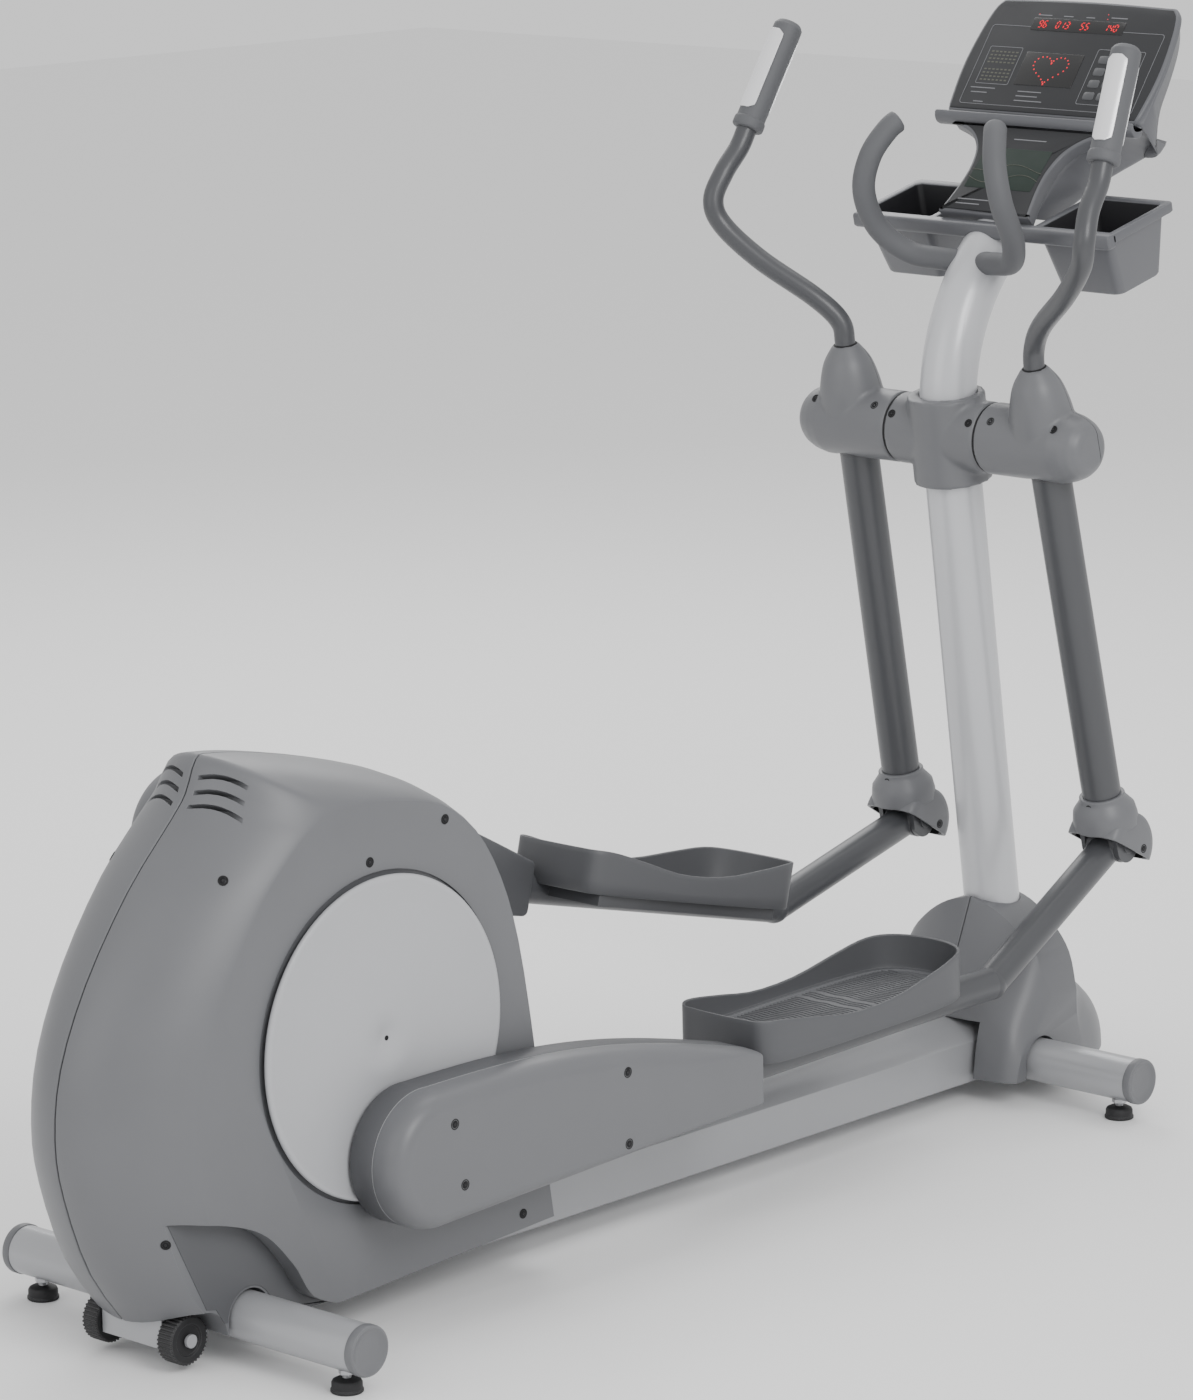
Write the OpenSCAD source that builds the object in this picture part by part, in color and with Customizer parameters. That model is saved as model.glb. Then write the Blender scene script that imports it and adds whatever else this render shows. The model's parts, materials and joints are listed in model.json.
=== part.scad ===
// Elliptical trainer with a rear crank drive, hanging pedal arms and swinging handlebars.
// X runs forward to the console, Y to the user's left, Z up; the origin is on the floor
// under the middle of the machine. All sizes are in millimetres.

/* [Base] */
// Distance between the rear and the front stabiliser
wheelbase = 1617; // [1500:1:1750]
// Diameter of both stabiliser tubes
stab_d = 66; // [50:1:80]
// Length of each stabiliser, end caps included
stab_len = 660; // [560:1:760]
// Height of the stabiliser axis above the floor
stab_z = 62; // [56:1:74]
// Wall of the stabiliser tubes and of the rail
steel_wall = 3; // [2:0.5:5]
// Width of the base rail
rail_w = 130; // [100:1:150]
// Height of the rail's flat sides
rail_side_h = 62; // [50:1:70]
// Underside of the rail above the floor
rail_bottom = 30; // [26:1:36]
// Distance of a levelling foot from the stabiliser's end
foot_inset = 43; // [30:1:80]
// Diameter of a levelling foot
foot_d = 43; // [30:1:60]
// Diameter of a levelling foot's stud
stud_d = 12; // [8:1:16]
// Diameter of a transport wheel
wheel_d = 66; // [50:1:80]
// Width of a transport wheel
wheel_w = 27; // [20:1:34]
// Radius of a transport wheel's axle
wheel_axle_r = 6; // [4:0.5:9]

/* [Crank] */
// Crank shaft ahead of the rear stabiliser
crank_x = 221; // [200:1:260]
// Crank shaft above the floor
crank_z = 392; // [370:1:430]
// Throw of the crank
crank_r = 190; // [140:1:196]
// Angle of the right crank at rest, from straight ahead
crank_phase = -85; // [-120:1:-60]
// Radius of the crank shaft
shaft_r = 12.5; // [9:0.5:20]
// Radius of each crank's round cover disc
disc_r = 216; // [205:1:222]
// Thickness of a cover disc
disc_t = 8; // [5:1:14]
// Radius of the large drive pulley
pulley_r = 150; // [110:1:160]
// Width of the drive pulleys
pulley_w = 22; // [16:1:30]

/* [Swing arms] */
// Swing axle ahead of the rear stabiliser
hub_x = 1567; // [1500:1:1620]
// Swing axle above the floor
hub_z = 1005; // [950:1:1060]
// Swing axle to the lower pivot
swing_len = 645; // [600:1:690]
// Diameter of a swing tube
swing_d = 58; // [44:1:64]
// Radius of the swing axle
axle_r = 15; // [10:0.5:20]
// Half the width over both hub covers
hub_half_w = 264; // [255:1:290]
// Diameter of the hub covers
hub_d = 106; // [96:1:116]
// Diameter of the moving handlebars
bar_d = 31; // [24:1:34]
// Diameter of the moving grips
grip_d = 44; // [38:1:50]

/* [Pedal arms] */
// Crank pin to the front pivot
arm_len = 1502; // [1440:1:1560]
// Crank pin to the bend of the arm, along the line of its ends
bend_at = 1200; // [1150:1:1240]
// Depth of the bend under the line of its ends
bend_drop = 123; // [90:1:150]
// Diameter of the pedal arm tube
arm_d = 48; // [40:1:54]
// Radius of the front pivot pin
pivot_r = 10; // [7:0.5:13]
// Radius of the crank pin
crank_pin_r = 12; // [8:0.5:16]
// Radius of the arm cover's round rear end
cover_r = 93; // [80:1:100]
// Length of the arm cover ahead of the crank pin
cover_len = 634; // [560:1:640]
// Crank pin to the rear wall of the foot tray
tray_at = 650; // [640:1:700]
// Middle of a foot tray, from the machine's centre plane
tray_y = 138; // [132:1:150]
// Length of a foot tray
tray_len = 478; // [400:1:490]
// Width of a foot tray
tray_w = 186; // [150:1:200]
// Height of a foot tray at the toe
tray_h = 70; // [60:1:90]
// Wall of the plastic covers and trays
skin = 3.5; // [2.5:0.5:5]

/* [Casing and shroud] */
// Half the width of the rear casing
case_half_w = 140; // [136:1:144]
// Half the width of the front shroud
shroud_half_w = 142; // [130:1:150]

/* [Mast and console] */
// Diameter of the mast
mast_d = 84; // [70:1:94]
// Lean of the mast towards the user, in degrees
mast_lean = 8.4; // [5:0.1:10]
// Radius of the mast's forward bend
mast_bend_r = 285; // [260:1:340]
// Angle through which the mast bends forward
mast_bend = 64; // [54:1:68]
// Width of the console across its ledge
console_w = 372; // [340:1:400]
// Height of the console face along its slope
face_h = 186; // [160:1:196]
// Tilt of the console face back from upright, in degrees
face_tilt = 37; // [28:1:40]
// Width of the accessory tray across its front edge
acc_w = 480; // [440:1:490]
// Diameter of the fixed handles
horn_d = 34; // [28:1:38]

/* [Hidden] */
$fn = 64;

SILVER = "#c3c4c6";
CASE_GREY = "#808184";
ARM_GREY = "#66676a";
DISC_GREY = "#b9babc";
BLACK = "#1c1c1e";
STEEL = "#9a9b9e";
EPS = 0.01;

// Clearances
run_gap = 0.05;     // shaft in a bearing
part_gap = 1;       // between bodies that pass each other
seam_gap = 0.4;     // between the two halves of a cover

stab_r = stab_d / 2;
stab_half = stab_len / 2;
cap_t = 10;
foot_pad_h = 19;
foot_y = stab_half - foot_inset;
nut_h = 6;
nut_seat = 0.9;     // how far a nut's flat reaches up round the tube

// Layers outwards from the rear casing: crank disc, arm cover, pedal arm
disc_in = case_half_w + 2;
disc_out = disc_in + disc_t;
cover_in = disc_out + 2;
arm_y = cover_in + skin + arm_d / 2 + 0.5;
cover_split = arm_y + 14;
cover_out = arm_y + arm_d / 2 + 34;

// Swing and crank pivots by circle intersection: the arm links crank pin and lower pivot
function polar(r, a) = [r * cos(a), r * sin(a)];
// Points along an arc about c, from angle a0 to angle a1
function arc(c, r, a0, a1, steps) = [for (i = [0:steps]) c + polar(r, a0 + (a1 - a0) * i / steps)];
function crank_pin_at(side) = [crank_x, crank_z] + polar(crank_r, crank_phase + (side > 0 ? 180 : 0));
function lower_pivot_at(side) =
    let (a = crank_pin_at(side), b = [hub_x, hub_z], d = norm(b - a), e = (b - a) / d,
         m = (arm_len * arm_len - swing_len * swing_len + d * d) / (2 * d),
         h = sqrt(arm_len * arm_len - m * m))
    a + m * e + h * [e[1], -e[0]];
function swing_angle(side) =
    let (v = lower_pivot_at(side) - [hub_x, hub_z]) atan2(v[0], -v[1]);
function arm_angle(side) =
    let (v = lower_pivot_at(side) - crank_pin_at(side)) atan2(v[1], v[0]);
leg_drop = atan2(bend_drop, bend_at);
leg_len = norm([bend_at, bend_drop]);

// Smooth open curve through given points
function spline_point(a, b, c, d, t) =
    0.5 * (2 * b + (c - a) * t + (2 * a - 5 * b + 4 * c - d) * t * t + (3 * b - a - 3 * c + d) * t * t * t);
function spline(p, steps) = [
    for (i = [0:len(p) - 2], s = [0:steps - 1])
        spline_point(p[max(i - 1, 0)], p[i], p[i + 1], p[min(i + 2, len(p) - 1)], s / steps),
    p[len(p) - 1]
];
function xs(p) = [for (q = p) q[0]];

// Rear casing: the outline in the centre plane and where the side face flattens out
case_mid = spline([
    [-104, 44], [-172, 136], [-213, 245], [-225, 325], [-212, 415], [-165, 517], [-90, 622],
    [-12, 702], [14, 732], [34, 774], [60, 777], [131, 766], [246, 739], [345, 706], [412, 655],
    [458, 576], [490, 477], [517, 330], [531, 215], [545, 120]
], 2);
case_side = spline([
    [-20, 60], [-70, 136], [-104, 245], [-108, 325], [-92, 415], [-48, 517], [16, 612],
    [78, 672], [104, 690], [132, 704], [150, 708], [190, 708], [262, 700], [340, 680], [404, 634],
    [450, 562], [482, 470], [509, 328], [523, 215], [537, 120]
], 2);
case_back_x = min(xs(case_mid));

// Console: lower edge of its face, depth behind the face and how far the back is set in
face_low = [1782, 1456];
case_depth = 40;
back_in = 22;

// Front shroud: the outline in the centre plane
shroud_low = 38;
shroud_mid = spline([
    [1622, 290], [1590, 215], [1548, 130], [1533, shroud_low]
], 4);
shroud_back = min(xs(shroud_mid));
shroud_nose = spline([
    [1880, shroud_low], [1874, 74], [1852, 110], [1812, 144],
    [1774, 172], [1744, 206], [1722, 250], [1712, 290]
], 4);
shroud_x = max(xs(shroud_nose));
mast_foot_x = 1700;
front_x = max(shroud_x, face_low[0] + (case_depth * cos(face_tilt)) + (face_h - back_in) * sin(face_tilt));
mid_x = (case_back_x + front_x) / 2;

module machine() { translate([-mid_x, 0, 0]) children(); }
// A solid drawn in the XY plane as (forward, up), standing across the machine from y0 to y1
module across(y0, y1) { translate([0, y1, 0]) rotate([90, 0, 0]) linear_extrude(y1 - y0) children(); }
module along_y(x, z, r, y0, y1) { translate([x, y0, z]) rotate([-90, 0, 0]) cylinder(r = r, h = y1 - y0); }
// Repeats what is drawn for the left side on the given side
module on_side(side) { if (side > 0) children(); else mirror([0, 1, 0]) children(); }
module swing_frame(side) {
    translate([hub_x, 0, hub_z]) rotate([0, -swing_angle(side), 0]) on_side(side) children();
}
// Frame of a pedal arm: X from the crank pin along its rear leg
module arm_frame(side) {
    p = crank_pin_at(side);
    translate([p[0], 0, p[1]]) rotate([0, -(arm_angle(side) - leg_drop), 0]) on_side(side) children();
}
// Straight round bar between two points
module bar(a, b, r) {
    v = b - a;
    translate(a) rotate([0, acos(v[2] / norm(v)), atan2(v[1], v[0])]) cylinder(r = r, h = norm(v));
}
// Round bar along a smooth path that never runs close to the X axis
module swept_bar(path, r, sides = 16, tip = 0) {
    n = len(path);
    function girth(i) = i < n - tip ? r : r * sqrt(1 - pow((i - n + 1 + tip) / (tip + 0.15), 2));
    function dir(i) = let (v = path[min(i + 1, n - 1)] - path[max(i - 1, 0)]) v / norm(v);
    function ring(i) = let (t = dir(i), u0 = cross([1, 0, 0], t), u = u0 / norm(u0), w = cross(t, u))
        [for (k = [0:sides - 1]) path[i] + girth(i) * (cos(360 * k / sides) * u + sin(360 * k / sides) * w)];
    polyhedron(
        points = [for (i = [0:n - 1]) each ring(i)],
        faces = [
            [for (k = [0:sides - 1]) k],
            for (i = [0:n - 2], k = [0:sides - 1]) let (m = (k + 1) % sides, a = i * sides, b = a + sides)
                each [[a + k, b + k, b + m], [a + k, b + m, a + m]],
            [for (k = [0:sides - 1]) n * sides - 1 - k]
        ]
    );
}

// ---- Base ----
crown_h = 30;
module rail_outline(w, inset) {
    half = w / 2 - inset;
    top = rail_bottom + rail_side_h - inset;
    crown_r = (half * half + crown_h * crown_h) / (2 * crown_h);
    translate([-half, rail_bottom + inset]) square([2 * half, rail_side_h - 2 * inset]);
    intersection() {
        translate([0, top + crown_h - crown_r]) circle(r = crown_r, $fn = 128);
        translate([-half, top - EPS]) square([2 * half, 60]);
    }
}
module rail_body(x0, x1, inset) {
    translate([x0, 0, 0]) rotate([90, 0, 90]) linear_extrude(x1 - x0) rail_outline(rail_w, inset);
}
module base_rail() color(SILVER) machine() {
    x0 = 0;
    x1 = wheelbase + 120;
    difference() {
        rail_body(x0, x1, 0);
        rail_body(x0 - 1, x1 - steel_wall, steel_wall);
        for (x = [0, wheelbase]) along_y(x, stab_z, stab_r, -rail_w, rail_w);
    }
}
module stabiliser(x) color(SILVER) machine() {
    len = stab_half - cap_t;
    difference() {
        along_y(x, stab_z, stab_r, -len, len);
        along_y(x, stab_z, stab_r - steel_wall, -len - 1, len + 1);
        for (s = [-1, 1]) translate([x, s * foot_y, 0]) cylinder(r = stud_d / 2 + run_gap, h = stab_z);
    }
}
module rear_stabiliser() stabiliser(0);
module front_stabiliser() stabiliser(wheelbase);
module stabiliser_end_caps() color(CASE_GREY) machine() {
    for (x = [0, wheelbase], s = [-1, 1]) translate([x, s * (stab_half - cap_t), stab_z]) on_side(s)
        rotate([-90, 0, 0]) union() {
            rotate_extrude() polygon([
                [0, 0], [stab_r, 0], [stab_r, cap_t - 4], [stab_r - 1.2, cap_t - 1.2],
                [stab_r - 4, cap_t], [stab_r - 9, cap_t - 2], [0, cap_t - 3]
            ]);
            translate([0, 0, -18]) cylinder(r = stab_r - steel_wall, h = 18 + EPS);
        }
}
module levelling_foot(x, s) color(BLACK) machine() translate([x, s * foot_y, 0]) {
    rotate_extrude() polygon([
        [0, 0], [foot_d / 2, 0], [foot_d / 2, 6], [foot_d / 2 - 3, 9],
        [12, 13], [10, foot_pad_h], [0, foot_pad_h]
    ]);
    cylinder(r = stud_d / 2, h = stab_z - 8);
}
module foot_rear_left() levelling_foot(0, 1);
module foot_rear_right() levelling_foot(0, -1);
module foot_front_left() levelling_foot(wheelbase, 1);
module foot_front_right() levelling_foot(wheelbase, -1);
module foot_lock_nuts() color(STEEL) machine() {
    for (x = [0, wheelbase], s = [-1, 1]) translate([x, s * foot_y, stab_z - stab_r - nut_h + nut_seat])
        difference() {
            cylinder(r = 11, h = nut_h, $fn = 6);
            translate([0, 0, -1]) cylinder(r = stud_d / 2 + run_gap, h = nut_h + 2);
            translate([0, 0, stab_r + nut_h - nut_seat]) rotate([90, 0, 0])
                cylinder(r = stab_r, h = 40, center = true);
        }
}

// ---- Transport wheels ----
wheel_x = -81;
wheel_z = wheel_d / 2 + 10;
wheel_out = 84;
bracket_half = wheel_out - wheel_w - part_gap;
bracket_z = 30;
module wheel_bracket() color(SILVER) machine() {
    difference() {
        union() {
            translate([wheel_x - 22, -bracket_half, bracket_z]) cube([-wheel_x, 2 * bracket_half, 50]);
            along_y(wheel_x, wheel_z, wheel_axle_r, -wheel_out - 5, wheel_out + 5);
            for (s = [-1, 1]) on_side(s)
                along_y(wheel_x, wheel_z, wheel_axle_r + 3, wheel_out + 0.5, wheel_out + 5);
        }
        along_y(0, stab_z, stab_r, -rail_w, rail_w);
    }
}
module transport_wheel(s) color(BLACK) machine() on_side(s) translate([wheel_x, wheel_out, wheel_z])
    rotate([90, 0, 0]) difference() {
        rotate_extrude() polygon([
            [0, 0], [12, 0], [14, 5], [22, 7], [23, 0], [wheel_d / 2 - 3, 0], [wheel_d / 2, 3],
            [wheel_d / 2, wheel_w - 3], [wheel_d / 2 - 3, wheel_w], [0, wheel_w]
        ]);
        translate([0, 0, -1]) cylinder(r = wheel_axle_r + run_gap, h = wheel_w + 2);
    }
module wheel_left() transport_wheel(1);
module wheel_right() transport_wheel(-1);

// ---- Drive inside the rear casing ----
plate_y = 62;
plate_t = 6;
bearing_r = 31;
bearing_w = 18;
arm_in = 118;
arm_t = 14;
mid_pulley = [20, 492];
mid_small_r = 26;
mid_big_r = 80;
alt_pos = [-92, 318];
alt_small_r = 20;
mid_shaft_r = 8;
belt_t = 3;
belt_gap = 0.3;
lane_a = -24;
lane_b = 14;
flywheel_r = 72;

module drive_frame() color(STEEL) machine() {
    for (s = [-1, 1]) on_side(s) difference() {
        across(plate_y - plate_t, plate_y) polygon([
            [crank_x - 60, rail_bottom + rail_side_h], [crank_x + 90, rail_bottom + rail_side_h],
            [crank_x + 60, crank_z], [crank_x + 40, crank_z + 52], [mid_pulley[0] + 30, mid_pulley[1] + 40],
            [mid_pulley[0] - 40, mid_pulley[1] + 30], [alt_pos[0] - 30, alt_pos[1] + 30],
            [alt_pos[0] - 30, alt_pos[1] - 30], [crank_x - 150, crank_z - 150]
        ]);
        rail_body(0, crank_x + 200, 0);
        along_y(crank_x, crank_z, bearing_r, plate_y - 20, plate_y + 20);
        along_y(mid_pulley[0], mid_pulley[1], mid_shaft_r + run_gap, plate_y - 20, plate_y + 20);
        along_y(alt_pos[0], alt_pos[1], mid_shaft_r + run_gap, plate_y - 20, plate_y + 20);
    }
    for (x = [crank_x - 40, crank_x + 68])
        translate([x - 8, -plate_y + plate_t, rail_bottom + rail_side_h + 32])
            cube([16, 2 * (plate_y - plate_t), 16]);
}
module crank_bearings() color(STEEL) machine() {
    for (s = [-1, 1]) on_side(s) difference() {
        union() {
            along_y(crank_x, crank_z, bearing_r, plate_y - plate_t, plate_y - plate_t + bearing_w);
            along_y(crank_x, crank_z, bearing_r + 8, plate_y, plate_y + 5);
        }
        along_y(crank_x, crank_z, shaft_r + run_gap, 0, 2 * plate_y);
    }
}
module crank_shaft() color(STEEL) machine()
    along_y(crank_x, crank_z, shaft_r, -arm_in - arm_t, arm_in + arm_t);
module crank_arms() color(STEEL) machine() for (s = [-1, 1]) {
    a = crank_phase + (s > 0 ? 180 : 0);
    translate([crank_x, 0, crank_z]) rotate([0, -a, 0]) on_side(s) difference() {
        union() {
            along_y(0, 0, 30, arm_in, arm_in + arm_t);
            along_y(crank_r, 0, 20, arm_in, arm_in + arm_t);
            translate([0, arm_in, -18]) cube([crank_r, arm_t, 36]);
        }
        along_y(0, 0, shaft_r, arm_in - 1, arm_in + arm_t + 1);
    }
}
module pulley(p, r, y0, w, bore_r) {
    difference() {
        union() {
            difference() {
                along_y(p[0], p[1], r, y0, y0 + w);
                along_y(p[0], p[1], r - 8, y0 - 1, y0 + w / 2 - 3);
                along_y(p[0], p[1], r - 8, y0 + w / 2 + 3, y0 + w + 1);
            }
            along_y(p[0], p[1], bore_r + 12, y0, y0 + w);
        }
        along_y(p[0], p[1], bore_r, y0 - 1, y0 + w + 1);
    }
}
module drive_pulley() color(BLACK) machine() difference() {
    pulley([crank_x, crank_z], pulley_r, lane_a, pulley_w, shaft_r);
    for (k = [0:5]) translate([crank_x, 0, crank_z]) rotate([0, 60 * k, 0])
        along_y(pulley_r * 0.55, 0, 26, lane_a - 1, lane_a + pulley_w + 1);
}
module crank_disc(s) color(DISC_GREY) machine() on_side(s) translate([crank_x, disc_in, crank_z])
    rotate([-90, 0, 0]) union() {
        rotate_extrude($fn = 128) polygon([
            [0, 0], [disc_r - 8, 0], [disc_r - 8, disc_t - 6], [disc_r, disc_t - 6], [disc_r, disc_t - 2],
            [disc_r - 2, disc_t], [6, disc_t], [5, disc_t - 1.5], [0, disc_t - 1.5]
        ]);
        translate([0, 0, -(disc_in - arm_in - arm_t)]) cylinder(r = 24, h = disc_in - arm_in - arm_t);
    }
module crank_disc_left() crank_disc(1);
module crank_disc_right() crank_disc(-1);
module intermediate_pulley() color(BLACK) machine() {
    along_y(mid_pulley[0], mid_pulley[1], mid_shaft_r, -plate_y - 8, plate_y + 8);
    along_y(mid_pulley[0], mid_pulley[1], mid_small_r, lane_a, lane_a + pulley_w);
    pulley(mid_pulley, mid_big_r, lane_b, pulley_w, mid_shaft_r - EPS);
}
// Belt round two pulleys: straight runs meet both arcs at their tangent points
module belt(p1, r1, p2, r2, y0, w) {
    d = norm(p2 - p1);
    base = atan2(p2[1] - p1[1], p2[0] - p1[0]);
    lean = acos((r1 - r2) / d);
    across(y0, y0 + w) difference() {
        belt_outline(p1, r1 + belt_gap + belt_t, p2, r2 + belt_gap + belt_t, base, lean);
        belt_outline(p1, r1 + belt_gap, p2, r2 + belt_gap, base, lean);
    }
}
module belt_outline(p1, r1, p2, r2, base, lean) {
    polygon(concat(
        arc(p1, r1, base + lean, base + 360 - lean, 64),
        arc(p2, r2, base - lean, base + lean, 32)
    ));
}
module drive_belts() color(BLACK) machine() {
    belt([crank_x, crank_z], pulley_r, mid_pulley, mid_small_r, lane_a + 3, pulley_w - 6);
    belt(mid_pulley, mid_big_r, alt_pos, alt_small_r, lane_b + 3, pulley_w - 6);
}
module alternator_housing() color(STEEL) machine() difference() {
    along_y(alt_pos[0], alt_pos[1], 52, plate_y - plate_t - 20, plate_y - plate_t);
    along_y(alt_pos[0], alt_pos[1], mid_shaft_r + run_gap, plate_y - 40, plate_y + 20);
}
module flywheel() color(STEEL) machine() {
    along_y(alt_pos[0], alt_pos[1], mid_shaft_r, -plate_y - 4, plate_y + 4);
    along_y(alt_pos[0], alt_pos[1], alt_small_r, lane_b, lane_b + pulley_w - 1);
    along_y(alt_pos[0], alt_pos[1], flywheel_r, lane_a - 22, lane_a + 8);
}
battery_h = 62;
board_post_h = 20;
module battery() color(BLACK) machine()
    translate([crank_x + 130, -75, rail_bottom + rail_side_h + crown_h]) {
        cube([98, 150, battery_h]);
        for (s = [30, 115]) translate([86, s, battery_h]) cube([6, 8, 6]);
    }
module control_board() color("#2f5d3a") machine()
    translate([crank_x + 130, -60, rail_bottom + rail_side_h + crown_h + battery_h + board_post_h]) {
        cube([80, 120, 2]);
        translate([10, 12, 2]) cube([30, 30, 12]);
        translate([52, 20, 2]) cube([22, 34, 8]);
        translate([14, 70, 2]) cube([40, 26, 16]);
        for (y = [10, 110]) translate([40, y, -board_post_h]) cylinder(r = 4, h = board_post_h);
    }

// ---- Rear casing ----
case_front_x = max(xs(case_mid));
// Slice of the casing at a share f of its half width, moved in by a wall
module case_slice(f, inset) {
    s = 1 - pow(1 - f * f, 0.8);
    y = f * (case_half_w - inset);
    low = inset > 0 ? -60 : 0;
    outline = [
        for (i = [0:len(case_mid) - 1]) case_mid[i] * (1 - s) + case_side[i] * s,
        [case_front_x, 72 + low], [-100 + 76 * s, 44 + low]
    ];
    across(y - EPS, y) offset(delta = -inset) polygon(outline);
}
module case_body(inset) {
    hull() for (f = [0, 0.3, 0.55, 0.75, 0.9, 1]) case_slice(f, inset);
}
module casing_half(side) color(CASE_GREY) machine() on_side(side) difference() {
    case_body(0);
    case_body(skin);
    translate([-500, -100 + seam_gap / 2, -50]) cube([1200, 100, 1000]);
    along_y(crank_x, crank_z, disc_r - 6, 100, 200);
    along_y(wheel_x, wheel_z, wheel_d / 2 + 8, -10, 200);
    along_y(0, stab_z, stab_r + 4, -10, 200);
    translate([-stab_r - 4, -10, 0]) cube([2 * stab_r + 8, 200, stab_z]);
    translate([case_front_x - 20, -10, 0]) cube([40, rail_w / 2 + 10, rail_bottom + rail_side_h + crown_h]);
    for (k = [0:2]) translate([22 - 9 * k, 0, 754 - 18 * k]) rotate([0, 34, 0])
        translate([-90, 16, -3.5]) cube([120, 84, 7]);
}
module casing_left() casing_half(1);
module casing_right() casing_half(-1);
case_screws = [[398, 612], [300, 646], [452, 250], [484, 90]];
module casing_screws() color(BLACK) machine() for (s = [-1, 1], p = case_screws)
    on_side(s) along_y(p[0], p[1], 5, case_half_w, case_half_w + 2);

// ---- Front shroud ----
module shroud_slice(y, grow_z, x0, x1, inset) {
    outline = [
        for (p = shroud_mid) [p[0] + x0 - shroud_back, shroud_low + (p[1] - shroud_low) * grow_z],
        for (p = shroud_nose)
            [mast_foot_x + (p[0] - mast_foot_x) * (x1 - mast_foot_x) / (shroud_x - mast_foot_x),
             shroud_low + (p[1] - shroud_low) * grow_z]
    ];
    across(y - EPS, y) offset(delta = -inset) polygon(outline);
}
module shroud_body(inset) {
    hull() {
        shroud_slice(0.01, 1, shroud_back, shroud_x, inset);
        shroud_slice(45, 0.95, shroud_back + 1, shroud_x - 10, inset);
        shroud_slice(88, 0.84, shroud_back + 4, shroud_x - 46, inset);
        shroud_slice(124, 0.68, shroud_back + 10, shroud_x - 100, inset);
        shroud_slice(shroud_half_w - inset, 0.46, shroud_back + 22, shroud_x - 170, inset);
    }
}
module shroud_half(side) color(CASE_GREY) machine() on_side(side) difference() {
    shroud_body(0);
    translate([0, 0, -skin - 40]) shroud_body(skin);
    shroud_body(skin);
    translate([1400, -100 + seam_gap / 2, -50]) cube([800, 100, 500]);
    along_y(wheelbase, stab_z, stab_r + 4, -10, 200);
    translate([wheelbase - stab_r - 4, -10, 0]) cube([2 * stab_r + 8, 210, stab_z]);
    translate([shroud_back - 10, -10, 0]) cube([60, rail_w / 2 + 10, rail_bottom + rail_side_h + crown_h]);
    mast_line(mast_d / 2 + 1);
}
module shroud_left() shroud_half(1);
module shroud_right() shroud_half(-1);

// ---- Mast ----
mast_top = hub_z + 4;
function on_mast(z) = hub_x - (z - hub_z) * tan(mast_lean);
mast_floor = rail_bottom + rail_side_h + crown_h + 4;
module mast_line(r) bar([on_mast(mast_floor), 0, mast_floor], [on_mast(mast_top), 0, mast_top], r);
module mast_bend_piece(r) {
    translate([on_mast(mast_top), 0, mast_top]) rotate([0, -mast_lean, 0]) translate([mast_bend_r, 0, 0])
        rotate([90, 0, 0]) rotate([0, 0, 180 - mast_bend]) rotate_extrude(angle = mast_bend)
            translate([mast_bend_r, 0]) circle(r = r);
}
module mast_tube(r) {
    mast_line(r);
    mast_bend_piece(r);
}
module mast() color("#cfd0d2") machine() {
    difference() {
        union() {
            mast_line(mast_d / 2);
            translate([on_mast(mast_floor) - 60, -46, mast_floor - 4]) cube([120, 92, 8]);
        }
        mast_line(mast_d / 2 - steel_wall);
        along_y(hub_x, hub_z, axle_r, -mast_d, mast_d);
        rail_body(shroud_back, shroud_x, 0);
    }
}
module mast_neck() color("#cfd0d2") machine() difference() {
    mast_bend_piece(mast_d / 2);
    mast_bend_piece(mast_d / 2 - steel_wall);
    along_y(hub_x, hub_z, axle_r, -mast_d, mast_d);
}

// ---- Swing axle and its covers ----
collar_out = 84;
cover_end = hub_half_w;
hub_r = hub_d / 2;
sleeve_r = 30;
module swing_axle() color(STEEL) machine() {
    along_y(hub_x, hub_z, axle_r, -cover_end + 12, cover_end - 12);
}
module mast_saddle() color(CASE_GREY) machine() difference() {
    union() {
        along_y(hub_x, hub_z, hub_r, -collar_out + 1.2, collar_out - 1.2);
        translate([hub_x, 0, hub_z]) rotate([0, -mast_lean, 0]) translate([0, 0, -72])
            cylinder(r = mast_d / 2 + 16, h = 132);
    }
    mast_line(mast_d / 2);
    mast_bend_piece(mast_d / 2);
    along_y(hub_x, hub_z, axle_r, -200, 200);
}
dome_profile = spline([[48, 0], [49, 26], [46, 58], [37, 92], [25, 112], [18, 121]], 4);
module hub_cover(side) color(CASE_GREY) machine() swing_frame(side) difference() {
    union() {
        along_y(0, 0, hub_r, collar_out + 1.2, cover_end - 46);
        translate([0, cover_end - 46, 0]) rotate([-90, 0, 0]) rotate_extrude() polygon([
            [0, 0], [hub_r, 0], [hub_r - 4, 18], [hub_r - 10, 32],
            [hub_r - 18, 42], [hub_r - 26, 46], [0, 46]
        ]);
        translate([0, arm_y, 0]) rotate_extrude() polygon([[0, 0], each dome_profile, [0, 121]]);
    }
    along_y(0, 0, hub_r - skin, collar_out + 6, cover_end - 46);
    translate([0, arm_y, 0]) rotate_extrude() polygon([
        [0, 0], each [for (p = dome_profile) [p[0] - skin, p[1] - skin]], [0, 117]
    ]);
    along_y(0, 0, sleeve_r, 0, arm_y + 46);
    along_y(0, 0, axle_r + run_gap, 0, cover_end - 6);
    translate([0, arm_y, -100]) cylinder(r = swing_d / 2 + 1, h = 100);
    translate([0, arm_y, 0]) cylinder(r = bar_d / 2, h = 200);
}
module hub_cover_left() hub_cover(1);
module hub_cover_right() hub_cover(-1);

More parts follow.
